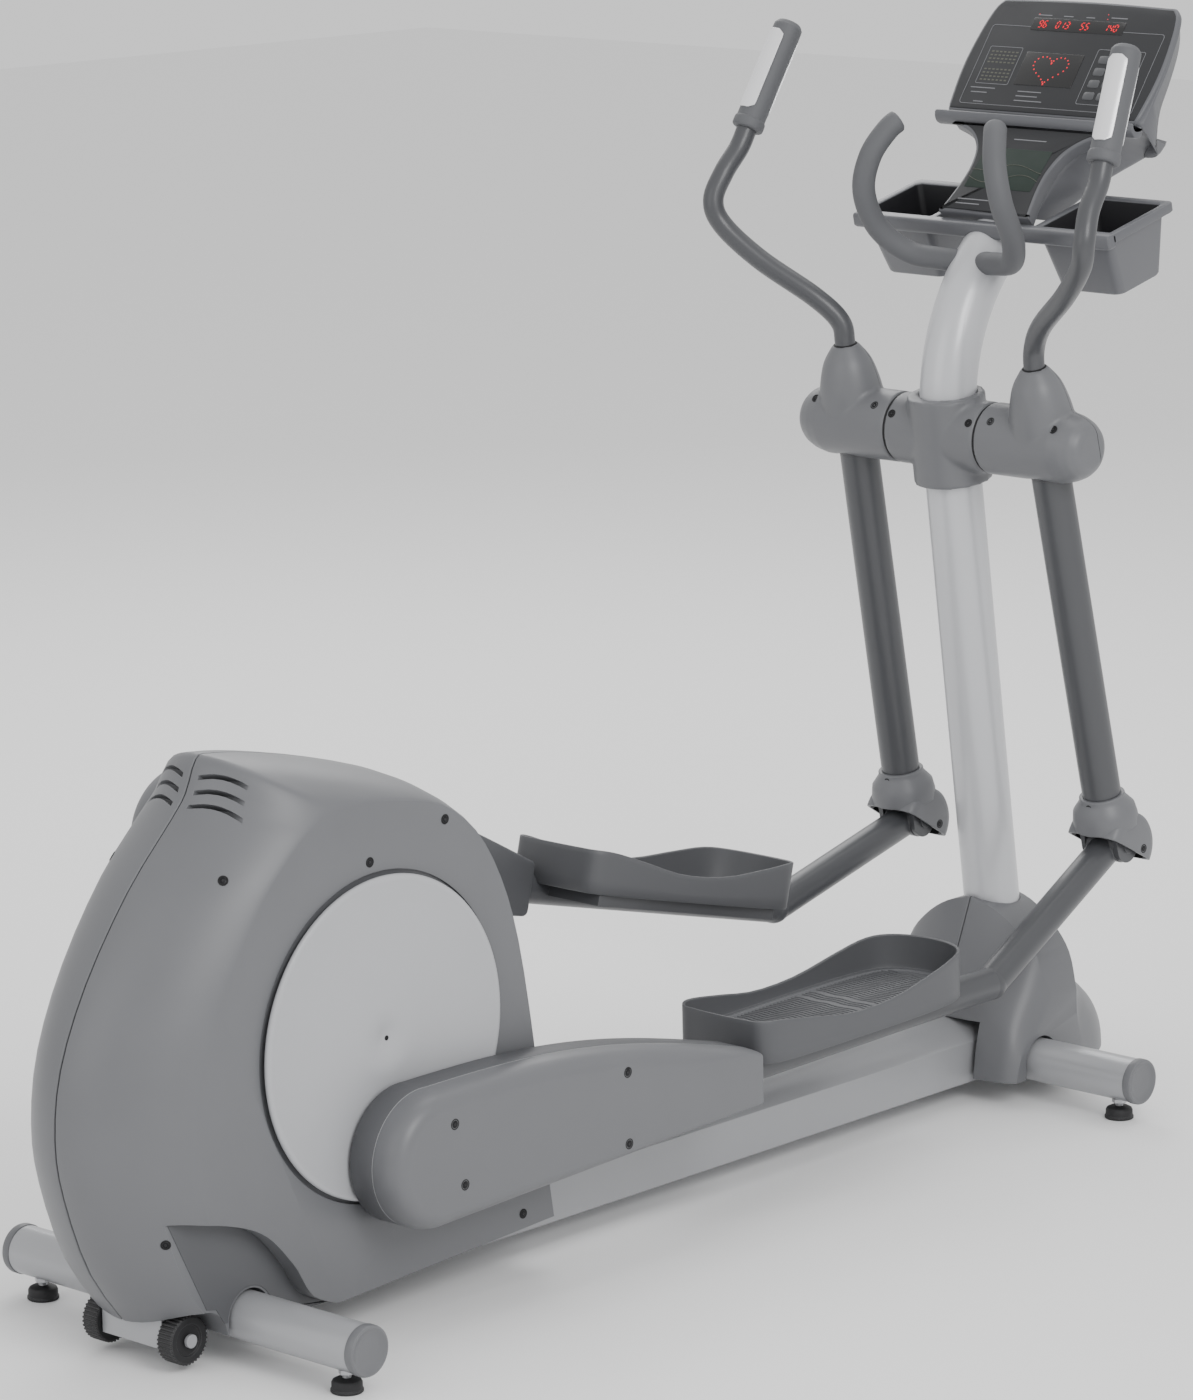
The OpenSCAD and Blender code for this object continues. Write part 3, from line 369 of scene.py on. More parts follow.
@dataclass(frozen=True)
class Finish:
    """A real surface: its colour, gloss and relief."""

    name: str
    colour: str
    slot: str
    roughness: float
    relief: Relief
    grain: float = 1.0          # millimetres between grains
    depth: float = 0.04         # millimetres of relief
    metallic: float = 0.0
    ior: float = 1.5
    coat: float = 0.0
    shade: float = 0.05         # how far handling and moulding vary the colour
    cloud: float = 90.0         # millimetres across such a patch
    edge: float = 0.10          # how far edges lighten, as a painted highlight
    glow: float = 0.0

    def height(self, tree: bpy.types.NodeTree, where: bpy.types.NodeSocket) -> bpy.types.NodeSocket:
        """Adds the relief pattern and returns its height socket."""
        per_metre = 1 / (self.grain * MM)
        if self.relief is Relief.BRUSHED:
            stretched = add_node(tree, "ShaderNodeMapping", {}, {"Vector": where, "Scale": (1.0, 1.0, 0.03)})
            return add_node(tree, "ShaderNodeTexNoise", {}, {
                "Vector": stretched.outputs["Vector"], "Scale": per_metre, "Detail": 3.0}).outputs["Fac"]
        if self.relief is Relief.RIBBED:
            return add_node(tree, "ShaderNodeTexWave", {"wave_type": "BANDS", "bands_direction": "X"}, {
                "Vector": where, "Scale": per_metre / WAVE_PERIOD, "Distortion": 1.6, "Detail": 1.0,
                "Detail Scale": 0.5}).outputs["Fac"]
        if self.relief is Relief.COATED:
            return add_node(tree, "ShaderNodeTexNoise", {}, {
                "Vector": where, "Scale": per_metre, "Detail": 1.0, "Roughness": 0.4}).outputs["Fac"]
        return add_node(tree, "ShaderNodeTexVoronoi", {"feature": "SMOOTH_F1"}, {
            "Vector": where, "Scale": per_metre}).outputs["Distance"]

    def build(self) -> bpy.types.Material:
        """Makes the material.

        Returns:
            The material, with colour, gloss and relief from its nodes.
        """
        material = bpy.data.materials.new(self.name)
        material.use_nodes = True
        tree = material.node_tree
        shader = tree.nodes["Principled BSDF"]
        where = add_node(tree, "ShaderNodeTexCoord", {}, {}).outputs["Object"]
        patch = add_node(tree, "ShaderNodeTexNoise", {}, {
            "Vector": where, "Scale": 1 / (self.cloud * MM), "Detail": 4.0, "Roughness": 0.6}).outputs["Fac"]
        base = Vector(linear(self.colour)[:3])
        dark, light = base * (1 - self.shade), base * (1 + self.shade)
        tint = add_node(tree, "ShaderNodeMix", {"data_type": "RGBA"}, {
            0: patch, 6: (*dark, 1.0), 7: (*light, 1.0)}).outputs[2]
        rounded = add_node(tree, "ShaderNodeBevel", {"samples": 4},
                           {"Radius": EDGE_RADIUS * MM}).outputs["Normal"]
        # Painted highlight: edges are lightened towards pale grey where the rounded normal turns from the
        # flat one
        if self.edge:
            flat = add_node(tree, "ShaderNodeNewGeometry", {}, {}).outputs["Normal"]
            turn = add_node(tree, "ShaderNodeVectorMath", {"operation": "DOT_PRODUCT"}, {
                0: rounded, 1: flat}).outputs["Value"]
            edge_highlight = add_node(tree, "ShaderNodeMapRange", {}, {
                "Value": turn, "From Min": 0.98, "From Max": 0.80, "To Min": 0.0,
                "To Max": self.edge}).outputs[0]
            tint = add_node(tree, "ShaderNodeMix", {"data_type": "RGBA"}, {
                0: edge_highlight, 6: tint, 7: (0.8, 0.8, 0.8, 1.0)}).outputs[2]
        tree.links.new(tint, shader.inputs["Base Color"])
        gloss = add_node(tree, "ShaderNodeMapRange", {}, {
            "Value": patch, "To Min": self.roughness * (1 - GLOSS_SPREAD),
            "To Max": min(1.0, self.roughness * (1 + GLOSS_SPREAD))}).outputs[0]
        tree.links.new(gloss, shader.inputs["Roughness"])
        normal = rounded
        if self.relief is not Relief.PLAIN:
            normal = add_node(tree, "ShaderNodeBump", {}, {
                "Height": self.height(tree, where), "Distance": self.depth * MM, "Strength": 0.7,
                "Normal": rounded}).outputs["Normal"]
        tree.links.new(normal, shader.inputs["Normal"])
        shader.inputs["Metallic"].default_value = self.metallic
        if not self.metallic:
            shader.inputs["IOR"].default_value = self.ior
        shader.inputs["Coat Weight"].default_value = self.coat
        if self.glow:
            shader.inputs["Emission Color"].default_value = linear(self.colour)
            shader.inputs["Emission Strength"].default_value = self.glow
        return material


# Injection-moulded ABS with a fine spark-eroded texture: soft broad highlights and no sharp reflections
ABS_GREY = Finish("abs_mid_grey", "#66676a", "casing_plastic", 0.42, Relief.MOULDED, 0.9, 0.035)
# The same ABS painted darker as shade, for recessed and less-lit parts
ABS_PAINTED_SHADE = Finish("abs_recess_grey", "#4e4f52", "casing_plastic", 0.5, Relief.MOULDED, 0.9, 0.035, edge=0.0)
# Pale moulded disc with a smoother texture: reads almost white under soft light
ABS_PALE = Finish("abs_pale_grey", "#acadb0", "disc_plastic", 0.38, Relief.MOULDED, 0.8, 0.02, shade=0.03)
# Metallic silver powder coat with slight orange peel: bright, satin, with a soft long highlight
SILVER_COAT = Finish("silver_powder_coat", "#a4a5a8", "silver_paint", 0.34, Relief.COATED, 2.2, 0.03,
                     metallic=0.25, coat=0.15, shade=0.03)
# The mast's paler silver coat
MAST_COAT = Finish("mast_silver_coat", "#c2c3c6", "mast_paint", 0.30, Relief.COATED, 2.2, 0.025,
                   metallic=0.15, coat=0.2, shade=0.03)
# Dark charcoal powder coat on the moving tubes
ARM_COAT = Finish("charcoal_powder_coat", "#454649", "arm_paint", 0.38, Relief.COATED, 2.0, 0.03, coat=0.1)
# Thermoplastic-rubber over-mould on the grips: dull, with a slightly rubbed look
GRIP_RUBBER = Finish("grip_thermoplastic_rubber", "#58595c", "grip_rubber", 0.62, Relief.MOULDED, 0.7, 0.05)
# Polished stainless pulse sensors, fine brush lines along the grip
PULSE_STEEL = Finish("pulse_stainless_steel", "#ececee", "pulse_metal", 0.28, Relief.BRUSHED, 0.5, 0.01,
                     metallic=0.35, shade=0.02)
# Glass-filled nylon tray
TRAY_NYLON = Finish("tray_nylon", "#505154", "tray_plastic", 0.5, Relief.MOULDED, 1.0, 0.05)
# Ribbed rubber mat bonded into the tray
MAT_RUBBER = Finish("tray_mat_rubber", "#5c5d60", "tray_plastic", 0.6, Relief.RIBBED, 4.0, 0.5, edge=0.0)
# Carbon-filled rubber of the wheels and feet
BLACK_RUBBER = Finish("black_rubber", "#1d1d1f", "wheel_rubber", 0.6, Relief.MOULDED, 0.8, 0.06)
# Black-oxide socket screws
BLACK_OXIDE = Finish("black_oxide_steel", "#17171a", "black_steel", 0.4, Relief.COATED, 0.8, 0.01,
                     metallic=0.6)
# Zinc-plated and turned steel parts
TURNED_STEEL = Finish("turned_steel", "#b4b5b8", "machined_steel", 0.28, Relief.BRUSHED, 0.4, 0.01,
                      metallic=1.0)
# Black moulded pulleys and the battery's case
BLACK_NYLON = Finish("black_nylon", "#202023", "black_plastic", 0.45, Relief.MOULDED, 0.9, 0.04)
# Ribbed drive belt
BELT_RUBBER = Finish("belt_rubber", "#19191b", "belt_rubber", 0.7, Relief.RIBBED, 2.0, 0.2, edge=0.0)
# Solder mask over the circuit board
BOARD_MASK = Finish("solder_mask", "#2c5b38", "circuit_board", 0.3, Relief.COATED, 1.0, 0.01, coat=0.4)
# Console housing and accessory tray: the same texture in a slightly darker ABS
CONSOLE_ABS = Finish("console_abs", "#5b5c60", "console_plastic", 0.4, Relief.MOULDED, 0.9, 0.03)
# Back-printed polycarbonate overlay, satin
OVERLAY = Finish("printed_overlay", "#202124", "console_glass", 0.62, Relief.COATED, 1.2, 0.01,
                 shade=0.02, edge=0.0)
# Smoked display window over the lamps
WINDOW = Finish("smoked_window", "#08080a", "console_glass", 0.14, Relief.PLAIN, coat=0.4, edge=0.0)
# Silk-screened legend lines on the overlay
LEGEND = Finish("overlay_legend_ink", "#7a7b7f", "console_glass", 0.5, Relief.PLAIN, edge=0.0)
# Muted chart ink
CHART = Finish("overlay_chart_ink", "#55564c", "console_glass", 0.5, Relief.PLAIN, edge=0.0)
# Lit red lamps behind the window
LAMP = Finish("red_lamp", "#e01c2c", "console_glass", 0.6, Relief.PLAIN, edge=0.0, glow=0.9)
# Printed dark green picture on the waist panel
GREEN_PRINT = Finish("green_print", "#10221a", "console_glass", 0.7, Relief.PLAIN, edge=0.0, shade=0.12,
                     cloud=30.0)
# Unlit gap between mouldings
SHADOW_GAP = Finish("shadow_gap", "#0c0c0e", "casing_plastic", 0.7, Relief.PLAIN, edge=0.0)


class Paintbox:
    """Makes each finish's material once."""

    def __init__(self) -> None:
        """Starts with no materials made."""
        self.made: dict[str, bpy.types.Material] = {}

    def material(self, finish: Finish) -> bpy.types.Material:
        """Returns the finish's material."""
        if finish.name not in self.made:
            self.made[finish.name] = finish.build()
        return self.made[finish.name]


# ---- Where things are ----
@dataclass
class Datum:
    """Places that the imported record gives, in metres, and the frames of the moving arms."""

    record: dict
    crank_at: float = 221.0             # forward of the rear stabiliser
    crank_throw: float = 190.0
    crank_phase: float = -85.0
    bend_at: float = 1200.0
    bend_drop: float = 123.0

    def joint(self, name: str) -> Vector:
        """Returns a joint's position."""
        found = next(j for j in self.record["behaviour"]["joints"] if j["name"] == name)
        return Vector(found["pos_m"])

    def machine(self, p: Vector) -> Vector:
        """Places a point measured from the rear stabiliser and the floor."""
        return p * MM + Vector((self.joint("crank_turn").x - self.crank_at * MM, 0, 0))

    def crank_pin(self, side: Side) -> Vector:
        """Returns the centre of a side's crank pin."""
        turn = polar(self.crank_throw * MM, self.crank_phase + (180 if side is Side.LEFT else 0))
        return self.joint("crank_turn") + Vector((turn.x, 0, turn.y))

    def swing(self, side: Side) -> Place:
        """Returns the placing for a swing arm: Z up along it from the hub."""
        hub = self.joint("right_swing")
        reach = self.joint(f"{side.word}_pedal_pitch") - hub
        turn = Matrix.Rotation(-math.atan2(reach.x, -reach.z), 3, "Y")
        return lambda p: hub + turn @ (Vector((p.x, p.y * side.value, p.z)) * MM)

    def pedal(self, side: Side) -> Place:
        """Returns the placing for a pedal arm: X forward along its rear leg from the crank pin."""
        pin = self.crank_pin(side)
        reach = self.joint(f"{side.word}_pedal_pitch") - pin
        lift = math.atan2(reach.z, reach.x) - math.atan2(self.bend_drop, self.bend_at)
        turn = Matrix.Rotation(-lift, 3, "Y")
        return lambda p: pin + turn @ (Vector((p.x, p.y * side.value, p.z)) * MM)


def mirrored(place: Place, side: Side) -> Place:
    """A placing whose Y points outwards on a side."""
    return lambda p: place(Vector((p.x, p.y * side.value, p.z)))


def bar_notch(place: Place, x: float) -> bpy.types.Object:
    """A cutter for the opening that a stabiliser passes through, at a place along the machine."""
    loop = arc((x, BAR_HEIGHT), NOTCH_RADIUS, 0, 180, 24)
    loop += [Vector((x - NOTCH_RADIUS, -10)), Vector((x + NOTCH_RADIUS, -10))]
    return MeshKit(place).across(loop, [(-10, 0), (220, 0)]).piece("cut")


@dataclass
class SubAssembly:
    """Pieces that are made and finished together."""

    datum: Datum
    paint: Paintbox
    dressed: list = field(default_factory=list)

    def show(self, obj: bpy.types.Object, finish: Finish, body: str, *nodes: str) -> bpy.types.Object:
        """Gives a piece its finish, its body and the CAD nodes that it stands for."""
        self.dressed.append((obj, finish, body, nodes))
        return obj

    def build(self) -> None:
        """Makes the sub-assembly's pieces."""

    def dress(self) -> None:
        """Gives each piece its material and hangs it on its body."""
        for obj, finish, body, nodes in self.dressed:
            obj.data.materials.clear()
            obj.data.materials.append(self.paint.material(finish))
            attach(obj, body)
            if nodes:
                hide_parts(*nodes)
            LOG.info("%s rides on %s in %s", obj.name, body, finish.name)

    def screw(self, place: Place, at: Sequence[float], out: Sequence[float], name: str, body: str,
              radius: float = 6.8) -> None:
        """Adds a recessed screw: a recess painted black as shadow, with a socket head in it."""
        # Painted shadow: a near-black disc stands in for the shade in the screw's recess
        shadow_well = MeshKit(place).lathe([(0, 0), (radius, 0), (radius, 0.7), (radius - 1.2, 0.9),
                                     (radius - 1.6, 0.35), (0, 0.35)], at, out, 24)
        self.show(shadow_well.piece(f"{name}_well"), SHADOW_GAP, body)
        head = MeshKit(place).lathe([(0, 0), (radius - 2.2, 0), (radius - 2.2, 0.6), (radius - 2.8, 0.8),
                                     (1.2, 0.8), (1.0, 0.45), (0, 0.45)], at, out, 24)
        self.show(head.piece(f"{name}_head"), BLACK_OXIDE, body)


@dataclass
class SidedAssembly(SubAssembly):
    """Pieces that are made once on each side of the machine."""

    side: Side = Side.LEFT
    reach: float = 180.0                # from the centre plane

    def named(self, word: str) -> str:
        """A piece's name on this side."""
        return f"{word}_{self.side.word}"


# ---- Base: stabiliser end caps, feet and wheels ----
@dataclass
class Base(SubAssembly):
    """The floor frame's moulded parts: dished end caps, treaded wheels and stepped feet."""

    stabiliser_half: float = 330.0
    stabiliser_radius: float = 33.0
    cap_depth: float = 10.0
    foot_radius: float = 21.5
    foot_inset: float = 43.0
    pad_height: float = 19.0

    def build(self) -> None:
        """Makes the end caps, wheels and feet."""
        for bar, x in (("rear", 0.0), ("front", WHEELBASE)):
            for side in Side:
                self.end_cap(bar, x, side)
                self.foot(bar, x, side)
        for side in Side:
            self.wheel(side)

    def end_cap(self, bar: str, x: float, side: Side) -> None:
        """Makes a moulded cap with a rolled rim and a dished face."""
        r, depth = self.stabiliser_radius + 1.2, self.cap_depth
        profile = [(0, -4), (r - 2, -4), (r - 0.4, -3.2), (r, -2), (r, depth - 3.4), (r - 0.9, depth - 1),
                   (r - 3, depth), (r - 5, depth - 0.4), (r - 7, depth - 2.2), (r - 16, depth - 3.6),
                   (0, depth - 4)]
        kit = MeshKit(self.datum.machine)
        kit.lathe(profile, (x, side.value * (self.stabiliser_half - depth), BAR_HEIGHT),
                  (0, side.value, 0), 72)
        nodes = ("stabiliser_end_caps",) if bar == "rear" and side is Side.LEFT else ()
        self.show(kit.piece(f"end_cap_{bar}_{side.word}"), ABS_GREY, "frame", *nodes)

    def foot(self, bar: str, x: float, side: Side) -> None:
        """Makes a levelling foot: a rubber pad with a stepped skirt on a threaded stud."""
        r, h = self.foot_radius, self.pad_height
        body = f"{bar}_{side.word}_foot"
        at = (x, side.value * (self.stabiliser_half - self.foot_inset), 0)
        pad = MeshKit(self.datum.machine).lathe(
            [(0, 0), (r - 1.2, 0), (r, 1.2), (r, 4), (r - 1.4, 5), (r - 1.4, h - 6), (r - 3, h - 3),
             (r - 9, h), (0, h)],
            at, (0, 0, 1), 56)
        self.show(pad.piece(f"foot_pad_{bar}_{side.word}"), BLACK_RUBBER, body)
        thread = [(0, h - 0.5)]
        for turn in range(7):
            low = h - 0.5 + turn * 1.5
            thread += [(5.2, low), (5.9, low + 0.75)]
        thread += [(5.2, h + 10), (0, h + 10)]
        stud = MeshKit(self.datum.machine).lathe(thread, at, (0, 0, 1), 32)
        self.show(stud.piece(f"foot_stud_{bar}_{side.word}"), TURNED_STEEL, body, f"foot_{bar}_{side.word}")

    def wheel(self, side: Side) -> None:
        """Makes a transport wheel with a ribbed tread and a recessed spoked hub."""
        low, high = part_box(f"wheel_{side.word}")
        r = (high.z - low.z) / 2 / MM
        width = (high.y - low.y) / MM
        centre = (low + high) / 2
        place = lambda p: centre + p * MM
        half = width / 2
        profile = [(8, -half + 3), (r - 13, -half + 3), (r - 11, -half + 0.5), (r - 3, -half),
                   (r - 1.6, -half + 1.6), (r - 1.6, half - 1.6), (r - 3, half), (r - 11, half - 0.5),
                   (r - 13, half - 3), (8, half - 3)]
        kit = MeshKit(place)
        kit.lathe([(0, -half + 3)] + profile + [(0, half - 3)], (0, 0, 0), (0, 1, 0), 96)
        ribs = 36
        for k in range(ribs):
            a0, a1 = 360 * k / ribs, 360 * (k + 0.55) / ribs
            loop = arc((0, 0), r - 2.2, a0, a1, 2) + arc((0, 0), r, a1 - 0.8, a0 + 0.8, 2)
            kit.across(loop, [(-half + 1.0, 0.3), (-half + 1.8, 0), (half - 1.8, 0), (half - 1.0, 0.3)])
        for k in range(6):
            out = polar(1, 60 * k)
            kit.tube([(out.x * 8, half - 3.2, out.y * 8), (out.x * (r - 13), half - 3.2, out.y * (r - 13))],
                     lambda t: 2.2, 12)
        body = f"{side.word}_wheel"
        self.show(kit.piece(f"wheel_tread_{side.word}"), BLACK_RUBBER, body, f"wheel_{side.word}")
        cap = MeshKit(place).lathe([(0, -half + 2), (5.5, -half + 2), (5.5, half - 1.6), (4, half - 0.6),
                                    (0, half - 0.4)],
                                   (0, 0, 0), (0, side.value, 0), 32)
        self.show(cap.piece(f"wheel_axle_cap_{side.word}"), BLACK_OXIDE, body)


# ---- Rear casing with its crank discs ----
@dataclass
class RearCasing(SubAssembly):
    """Two moulded half shells round the drive, and the pale crank discs outside them."""

    half_width: float = 140.0
    seam: float = 2.4
    crank: tuple = (221.0, 392.0)
    disc_radius: float = 216.0
    disc_gap: float = 2.0
    disc_thickness: float = 8.0
    flank_flatness: float = 0.8
    screws: tuple = ((345.0, 660.0), (205.0, 628.0), (484.0, 90.0), (-20.0, 640.0), (-140.0, 190.0))
    middle: tuple = ((-104, 44), (-172, 136), (-213, 245), (-225, 325), (-212, 415), (-165, 517), (-90, 622),
                     (-12, 702), (14, 732), (34, 774), (60, 777), (131, 766), (246, 739), (345, 706),
                     (412, 655), (458, 576), (490, 477), (517, 330), (531, 215), (545, 120))
    flank: tuple = ((-20, 60), (-70, 136), (-104, 245), (-108, 325), (-92, 415), (-48, 517), (16, 612),
                    (78, 672), (104, 690), (132, 704), (150, 708), (190, 708), (262, 700), (340, 680),
                    (404, 634), (450, 562), (482, 470), (509, 328), (523, 215), (537, 120))
    arch_depth: float = 112.0
    arch: tuple = ((-194, 171), (-159, 214), (-91, 210), (-4, 179), (52, 125), (89, 72), (150, 46))

    def build(self) -> None:
        """Makes the shells, the discs and their screws."""
        for side in Side:
            self.shell(side)
            self.disc(side)

    def outline(self, share: float, inset: float) -> list[Vector]:
        """The shell's outline at a share of its half width."""
        flat = 1 - (1 - share * share) ** self.flank_flatness
        steps = 3
        mid, out = spline(self.middle, steps), spline(self.flank, steps)
        loop = [m.lerp(o, flat) for m, o in zip(mid, out)]
        loop += [Vector((545, 72)), Vector((-100 + 76 * flat, 44))]
        return inset_loop(loop, inset) if inset else loop

    def shell(self, side: Side) -> None:
        """Makes one half shell with its vents, wheel notch, arch and disc recess."""
        place = mirrored(self.datum.machine, side)
        shares = [0.0, 0.12, 0.25, 0.37, 0.48, 0.58, 0.67, 0.75, 0.82, 0.88, 0.93, 0.97, 0.99, 1.0]
        rings = [[Vector((p.x, self.seam / 2, p.y)) for p in self.outline(0.0, 1.2)],
                 [Vector((p.x, 2.2, p.y)) for p in self.outline(0.015, 0.0)]]
        for share in shares[1:]:
            rings.append([Vector((p.x, share * self.half_width, p.y)) for p in self.outline(share, 0.0)])
        obj = MeshKit(place).skin(rings).piece(f"casing_shell_{side.word}", 30)
        cutters = [self.disc_recess(place), bar_notch(place, 0), self.wheel_notch(place),
                   self.arch_recess(place)]
        cutters += [self.vent(place, k) for k in range(3)]
        low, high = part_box("base_rail")
        rail_half = (high.y - low.y) / 2 / MM
        cutters.append(MeshKit(place).across(
            [(480, -5), (600, -5), (600, 124), (480, 124)], [(-5, 0), (rail_half + 0.6, 0)]).piece("cut"))
        carve(obj, cutters)
        round_edges(obj, 1.6, 50)
        screws = ("casing_screws",) if side is Side.LEFT else ()
        self.show(obj, ABS_GREY, "frame", f"casing_{side.word}", *screws)
        for number, (x, z) in enumerate(self.screws):
            start = place(Vector((x, 300, z)))
            hit, at, out, _ = obj.ray_cast(start, Vector((0, -side.value, 0)))
            if hit:
                self.screw(lambda p, o=at: o + p * MM, (0, 0, 0), out, f"casing_screw_{side.word}_{number}",
                           "frame")
        self.arch_panel(place, side)

    def disc_recess(self, place: Place) -> bpy.types.Object:
        """The shallow ring that the crank disc turns over."""
        return MeshKit(place).lathe([(0, 0), (self.disc_radius + 5, 0), (self.disc_radius + 5, 40), (0, 40)],
                                    (self.crank[0], self.half_width - 5, self.crank[1]), (0, 1, 0),
                                    128).piece("cut")

    def wheel_notch(self, place: Place) -> bpy.types.Object:
        """The opening round the transport wheels."""
        low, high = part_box("wheel_left")
        centre = (low + high) / 2 - self.datum.machine(Vector((0, 0, 0)))
        r = (high.z - low.z) / 2 / MM + 9
        loop = arc((centre.x / MM, centre.z / MM), r, 0, 360, 48)[:-1]
        return MeshKit(place).across(loop, [(-10, 0), (220, 0)]).piece("cut")

    def arch_recess(self, place: Place) -> bpy.types.Object:
        """The wheel-arch step low on the casing's flank."""
        loop = spline(self.arch, 6) + [Vector((150, -10)), Vector((-260, -10)), Vector((-260, 171))]
        return MeshKit(place).across(loop, [(self.arch_depth, 0), (220, 0)]).piece("cut")

    def arch_panel(self, place: Place, side: Side) -> None:
        """A panel at the back of the wheel arch, painted darker as shade."""
        loop = spline(self.arch, 6) + [Vector((150, 46)), Vector((44, 46)), Vector((37, 62))]
        loop += arc((0, 62), 39, 0, 180, 16) + [Vector((-46, 62)), Vector((-60, 84)), Vector((-110, 88))]
        # the flank turns in towards the rear, so the panel stops short of it
        loop = [Vector((max(p.x, -33 - 0.5 * p.y), p.y)) for p in loop]
        obj = MeshKit(place).across(loop, [(self.arch_depth - 1, 1.0), (self.arch_depth + 0.8, 1.0)])
        # Painted shade: the darker copy of the ABS deepens the arch's recess
        self.show(obj.piece(f"arch_panel_{side.word}", 40), ABS_PAINTED_SHADE, "frame")

    def vent(self, place: Place, number: int) -> bpy.types.Object:
        """One of the curved vent slots near the top."""
        corner = Vector((22 - 9 * number, 0, 754 - 18 * number))
        turn = Matrix.Rotation(math.radians(34), 3, "Y")
        rings = []
        for step in range(9):
            share = step / 8
            y = 14 + 88 * share
            bow = 10 * math.sin(math.pi * share)
            section = ((-130, -3.2), (30, -3.2), (30, 3.2), (-130, 3.2))
            rings.append([corner + turn @ Vector((x, y, z + bow)) for x, z in section])
        return MeshKit(place).skin(rings).piece("cut")

    def disc(self, side: Side) -> None:
        """Makes a crank disc: a rolled rim, a shallow dish, a hub boss and a tiny centre cap."""
        place = mirrored(self.datum.machine, side)
        base = (self.crank[0], self.half_width + self.disc_gap, self.crank[1])
        r, t = self.disc_radius, self.disc_thickness
        profile = [(0, 0), (r - 3, 0), (r - 0.6, 1.2), (r, 3), (r - 0.6, t - 2), (r - 3, t - 0.5), (r - 6, t),
                   (r - 9, t - 0.3), (r - 14, t - 1.6), (r * 0.55, t - 2.0), (60, t - 1.8), (52, t - 0.8),
                   (16, t - 0.8), (15, t - 1.3), (0, t - 1.3)]
        kit = MeshKit(place).lathe(profile, base, (0, 1, 0), 160)
        self.show(kit.piece(f"crank_disc_face_{side.word}", 50), ABS_PALE, "crank", f"crank_disc_{side.word}")
        cap = MeshKit(place).lathe([(0, t - 1.9), (3.4, t - 1.9), (3.4, t - 0.9), (2.6, t - 0.4),
                                    (0, t - 0.3)],
                                   base, (0, 1, 0), 32)
        self.show(cap.piece(f"crank_centre_cap_{side.word}"), BLACK_OXIDE, "crank")


# ---- Front shroud ----
@dataclass
class FrontShroud(SubAssembly):
    """Two moulded half shells over the mast foot."""

    foot: float = 38.0
    mast_foot: float = 1700.0
    mast_hole: float = 43.2
    half_width: float = 142.0
    seam: float = 2.4
    heel: tuple = ((1622, 290), (1590, 215), (1548, 130), (1533, 38))
    nose: tuple = ((1880, 38), (1874, 74), (1852, 110), (1812, 144), (1774, 172), (1744, 206), (1722, 250),
                   (1712, 290))
    # half width, height kept, heel moved forward, nose moved back
    stations: tuple = ((0.0, 1.0, 0.0, 0.0), (45, 0.95, 1, 10), (88, 0.84, 4, 46), (124, 0.68, 10, 100),
                       (142, 0.46, 22, 170))

    def build(self) -> None:
        """Makes both half shells."""
        for side in Side:
            self.shell(side)

    def ring(self, y: float, keep: float, heel_in: float, nose_in: float) -> list[Vector]:
        """The shell's outline at a station across its width."""
        rise = lambda z: self.foot + (z - self.foot) * keep
        reach = (self.nose[0][0] - nose_in - self.mast_foot) / (self.nose[0][0] - self.mast_foot)
        loop = [Vector((p.x + heel_in, y, rise(p.y))) for p in spline(self.heel, 5)]
        loop += [Vector((self.mast_foot + (p.x - self.mast_foot) * reach, y, rise(p.y)))
                 for p in spline(self.nose, 4)]
        return loop

    def shell(self, side: Side) -> None:
        """Makes one half shell, open for the mast, the rail and the front stabiliser."""
        place = mirrored(self.datum.machine, side)
        stations = spline(self.stations, 4)
        rings = [self.ring(max(s[0], self.seam / 2), s[1], s[2], s[3]) for s in stations]
        obj = MeshKit(place).skin(rings).piece(f"shroud_shell_{side.word}", 40)
        mast = lambda t: self.mast_hole
        cutters = [bar_notch(place, WHEELBASE),
                   MeshKit(place).across([(1500, -5), (1590, -5), (1590, 122), (1500, 122)],
                                         [(-10, 0), (75, 0)]).piece("cut"),
                   MeshKit(self.datum.machine).tube([(1703, 0, 90), (1655, 0, 400)], mast, 64).piece("cut")]
        carve(obj, cutters)
        round_edges(obj, 1.8, 50)
        self.show(obj, ABS_GREY, "frame", f"shroud_{side.word}")


